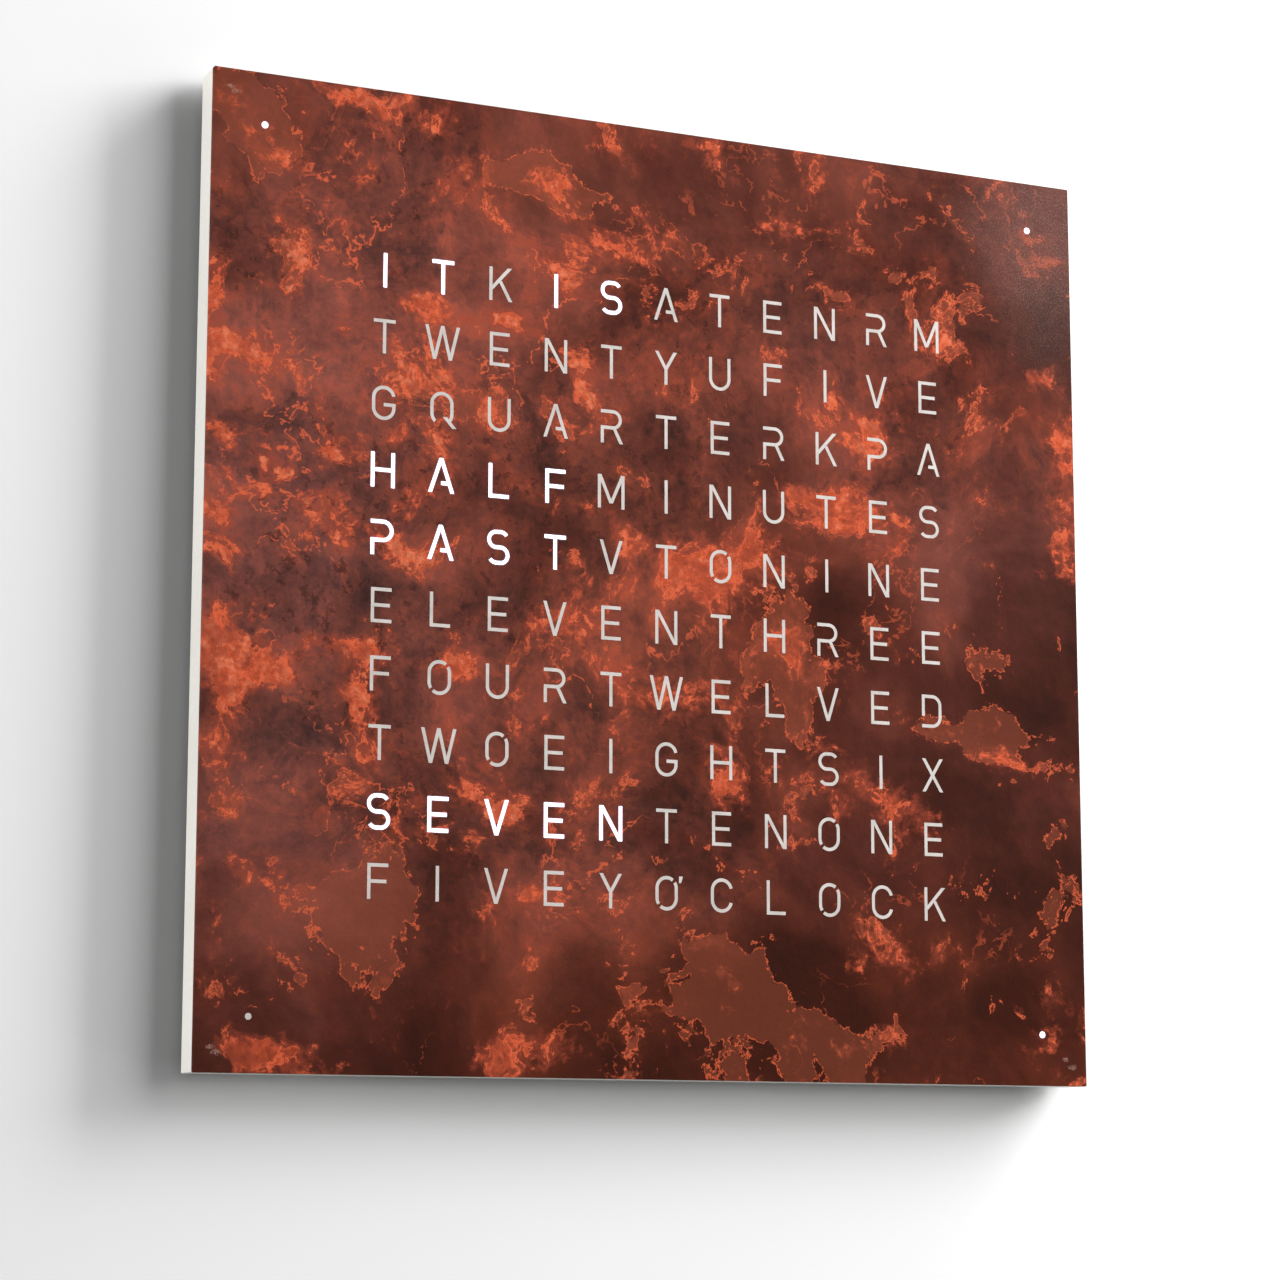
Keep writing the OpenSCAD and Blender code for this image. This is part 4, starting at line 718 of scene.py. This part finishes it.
def screwGrid(look, x, seat, z, out, turn):
    # rings round the screw's axis: the head's top is a shallow dome, lowered inside a cross
    # of two bars that fade towards their ends; then the head's side or cone, the shank and
    # the tip
    angle = np.linspace(0, 2 * np.pi, headShape["steps"], endpoint=False)[None, :]
    share = np.array(headShape["rings"])[:, None]
    headRadius, shankRadius, length = look["headRadius"], look["shankRadius"], look["length"]
    radius = share * headRadius
    flat = look["headHeight"] == 0
    dome = look["headHeight"] * headShape["domeShare"]
    height = look["headHeight"] - dome * share ** headShape["domePower"] + 0 * angle
    across, along = abs(radius * np.cos(angle)), abs(radius * np.sin(angle))
    nearBar, farBar = np.minimum(across, along), np.maximum(across, along)
    inside = np.clip((look["crossWidth"] - nearBar) / headShape["sideFade"] + 1, 0, 1)
    inside = inside * np.clip((look["crossReach"] - farBar) / headShape["endFade"], 0, 1)
    height = height - look["crossDepth"] * inside
    cone = headRadius - shankRadius if flat else 0
    bevel = headShape["tipBevel"]
    lower = [] if flat else [(headRadius, 0.0)]
    lower += [(shankRadius, -cone), (shankRadius, bevel - length),
              (shankRadius - bevel, -length), (0.0, -length)]
    rings = np.array(lower)
    radius = np.concatenate([radius + 0 * angle, rings[:, :1] + 0 * angle])
    height = np.concatenate([height, rings[:, 1:] + 0 * angle])
    angle = angle + turn
    points = [x + radius * np.cos(angle), seat + out * height, z + radius * np.sin(angle)]
    return np.stack(points, axis=-1) * mm


def screwGrids(look, spots, seat, out):
    # one grid for each spot, each turned a little further than the one before
    first = look.get("turn", 0.0)
    return [screwGrid(look, x, seat, z, out, first + look["turnEach"] * n)
            for n, (x, z) in enumerate(spots)]


def rearCoverScrews():
    # heads towards the wall; the spots of one side are turned to the other three
    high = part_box("rear_cover_screws")[1] / mm
    side = high.x - panScrew["headRadius"]
    spots = [(step * cos - side * sin, step * sin + side * cos)
             for cos, sin in ((1, 0), (0, 1), (-1, 0), (0, -1)) for step in panScrew["alongSide"]]
    grids = screwGrids(panScrew, spots, high.y - panScrew["headHeight"], 1)
    pieceFrom("rearScrews", grids, "clock_body", "zinc_steel", ["rear_cover_screws"])


def leadWellScrews():
    low, high = [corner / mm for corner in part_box("lead_well_screws")]
    edge = wellScrew["headRadius"]
    spots = [(side * (high.x - edge), z)
             for side in (-1, 1) for z in (high.z - edge, low.z + edge)]
    grids = screwGrids(wellScrew, spots, high.y, 1)
    pieceFrom("wellScrews", grids, "clock_body", "zinc_steel", ["lead_well_screws"])


def diffuserScrews():
    low, high = [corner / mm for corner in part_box("diffuser_screws")]
    edge = sheetScrew["headRadius"]
    spots = [(i * (high.x - edge), k * (high.z - edge))
             for i in (-1, 0, 1) for k in (-1, 0, 1) if (i, k) != (0, 0)]
    grids = screwGrids({**sheetScrew, "length": high.y - low.y}, spots, low.y, -1)
    pieceFrom("sheetScrews", grids, "clock_body", "zinc_steel", ["diffuser_screws"])


rearCoverScrews()
leadWellScrews()
diffuserScrews()
print("screws made")

# The wall behind the clock, with an opening that the clock hides, and a floor far below
stageSet = {
    "reach": 4.0,
    "openingHalf": 0.215,
    "wallY": 0.0004,
    "floorZ": -1.3,
    "wallColour": srgb(246, 246, 246),
    "floorColour": srgb(244, 244, 244),
    "cameraGain": 1.08,
    "bounce": 0.06,
}


def seenDirectly(finish):
    # 1 to the camera, in reflections and through clear pieces; 0 to all scattered light
    camera, glossy, through = [finish.node("ShaderNodeLightPath", output=kind) for kind in (
        "Is Camera Ray", "Is Glossy Ray", "Is Transmission Ray")]
    return camera.largest(glossy).largest(through)


def stageFinish(name, colour):
    # white where it is seen; dim to the rest, so that it throws little light back; clear
    # from behind
    finish = newFinish(name)
    bright, dim = [tuple(v * stageSet[share] for v in colour[:3]) + (1,)
                   for share in ("cameraGain", "bounce")]
    shown = finish.blend(seenDirectly(finish), dim, bright)
    plain = finish.node("ShaderNodeBsdfDiffuse", {}, {"Color": shown})
    back = finish.node("ShaderNodeNewGeometry", output="Backfacing")
    clear = finish.node("ShaderNodeBsdfTransparent")
    return finish.close(finish.node("ShaderNodeMixShader", {}, {0: back, 1: plain, 2: clear}))


def stagePiece(name, points, faces, material):
    mesh = bpy.data.meshes.new(name)
    mesh.from_pydata(points, [], faces)
    piece = bpy.data.objects.new(name, mesh)
    bpy.context.scene.collection.objects.link(piece)
    wear(piece, material)
    return piece


def buildStage():
    reach, half, y, floor = [
        stageSet[key] for key in ("reach", "openingHalf", "wallY", "floorZ")]
    corners = [(-1, -1), (1, -1), (1, 1), (-1, 1)]
    ring = [(x * size, y, z * size) for size in (reach, half) for x, z in corners]
    wall = stagePiece(
        "wall", ring, [(0, 1, 5, 4), (1, 2, 6, 5), (2, 3, 7, 6), (3, 0, 4, 7)],
        stageFinish("wallPaint", stageSet["wallColour"]))
    wall.visible_shadow = False
    stagePiece(
        "floor", [(x * reach, y * reach, floor) for x, y in corners], [(0, 1, 2, 3)],
        stageFinish("floorPaint", stageSet["floorColour"]))


buildStage()

# Lamps: one low over the wall from the upper right, which draws the long shadow, a softer one
# in front, a weak one low on the right, a thin one level with the white side, and one behind
# the wall for the rear. The thin one and the rear one light only what they reach directly. The
# raking lamp would burn out the white shell's right side, so the shell has a weaker one in its
# place, and one of its own from below. A lamp lights the node under "only" and no other, or
# all but the node under "skips".
lamps = {
    "raking": {"place": (2.6, -1.0, 1.6), "aim": (0, 0, 0), "size": (1.07, 2.2), "watts": 158.0,
               "skips": "housing"},
    "shell": {"place": (2.6, -1.0, 1.6), "aim": (0, 0, 0), "size": (1.07, 2.2), "watts": 48.0,
              "only": "housing"},
    "front": {"place": (1.4, -1.6, 0.75), "aim": (0, 0, 0), "size": (1.7, 1.7), "watts": 31.0},
    "side": {"place": (-2.4, -0.10, 0), "aim": (0, -0.10, 0), "size": (0.12, 1.2), "watts": 51.5,
             "bounces": 0},
    "low": {"place": (1.9, -0.8, -1.1), "aim": (0, 0, -0.2), "size": (0.5, 1.2), "watts": 7.0},
    "under": {"place": (0.2, -0.9, -1.1), "aim": (0, 0, -0.2), "size": (0.8, 0.8), "watts": 8.0,
              "only": "housing"},
    "rear": {"place": (0.6, 2.4, 1.4), "aim": (0, 0, 0), "size": (2.0, 2.0), "watts": 70.0,
             "bounces": 0},
}
worldLevel = {"fill": 0.22, "white": 1.0}


def addLamps():
    for name, look in lamps.items():
        data = bpy.data.lights.new(name, "AREA")
        data.shape, data.energy = "RECTANGLE", look["watts"]
        data.size, data.size_y = look["size"]
        if "bounces" in look:
            data.cycles.max_bounces = look["bounces"]
        lamp = bpy.data.objects.new(name, data)
        lamp.location = look["place"]
        lamp.visible_camera = False
        line = Vector(look["aim"]) - Vector(look["place"])
        lamp.rotation_euler = line.to_track_quat("-Z", "Y").to_euler()
        bpy.context.scene.collection.objects.link(lamp)
        picked = look.get("only", look.get("skips"))
        if picked:
            reached = bpy.data.collections.new(name + "Reach")
            reached.objects.link(frame["nodes"][picked])
            lamp.light_linking.receiver_collection = reached
            if "skips" in look:
                reached.collection_objects[0].light_linking.link_state = "EXCLUDE"


def addWorld():
    # white where it is seen, a weak even light to the rest
    world = bpy.data.worlds.new("room")
    bpy.context.scene.world = world
    finish = Finish(world)
    fill, white = [finish.node("ShaderNodeBackground", {}, {
        "Color": (1, 1, 1, 1), "Strength": worldLevel[kind]}) for kind in ("fill", "white")]
    finish.close(
        finish.node("ShaderNodeMixShader", {}, {0: seenDirectly(finish), 1: fill, 2: white}),
        "ShaderNodeOutputWorld")


addLamps()
addWorld()
bpy.context.scene.view_settings.view_transform = "Standard"
print("stage and lamps set")
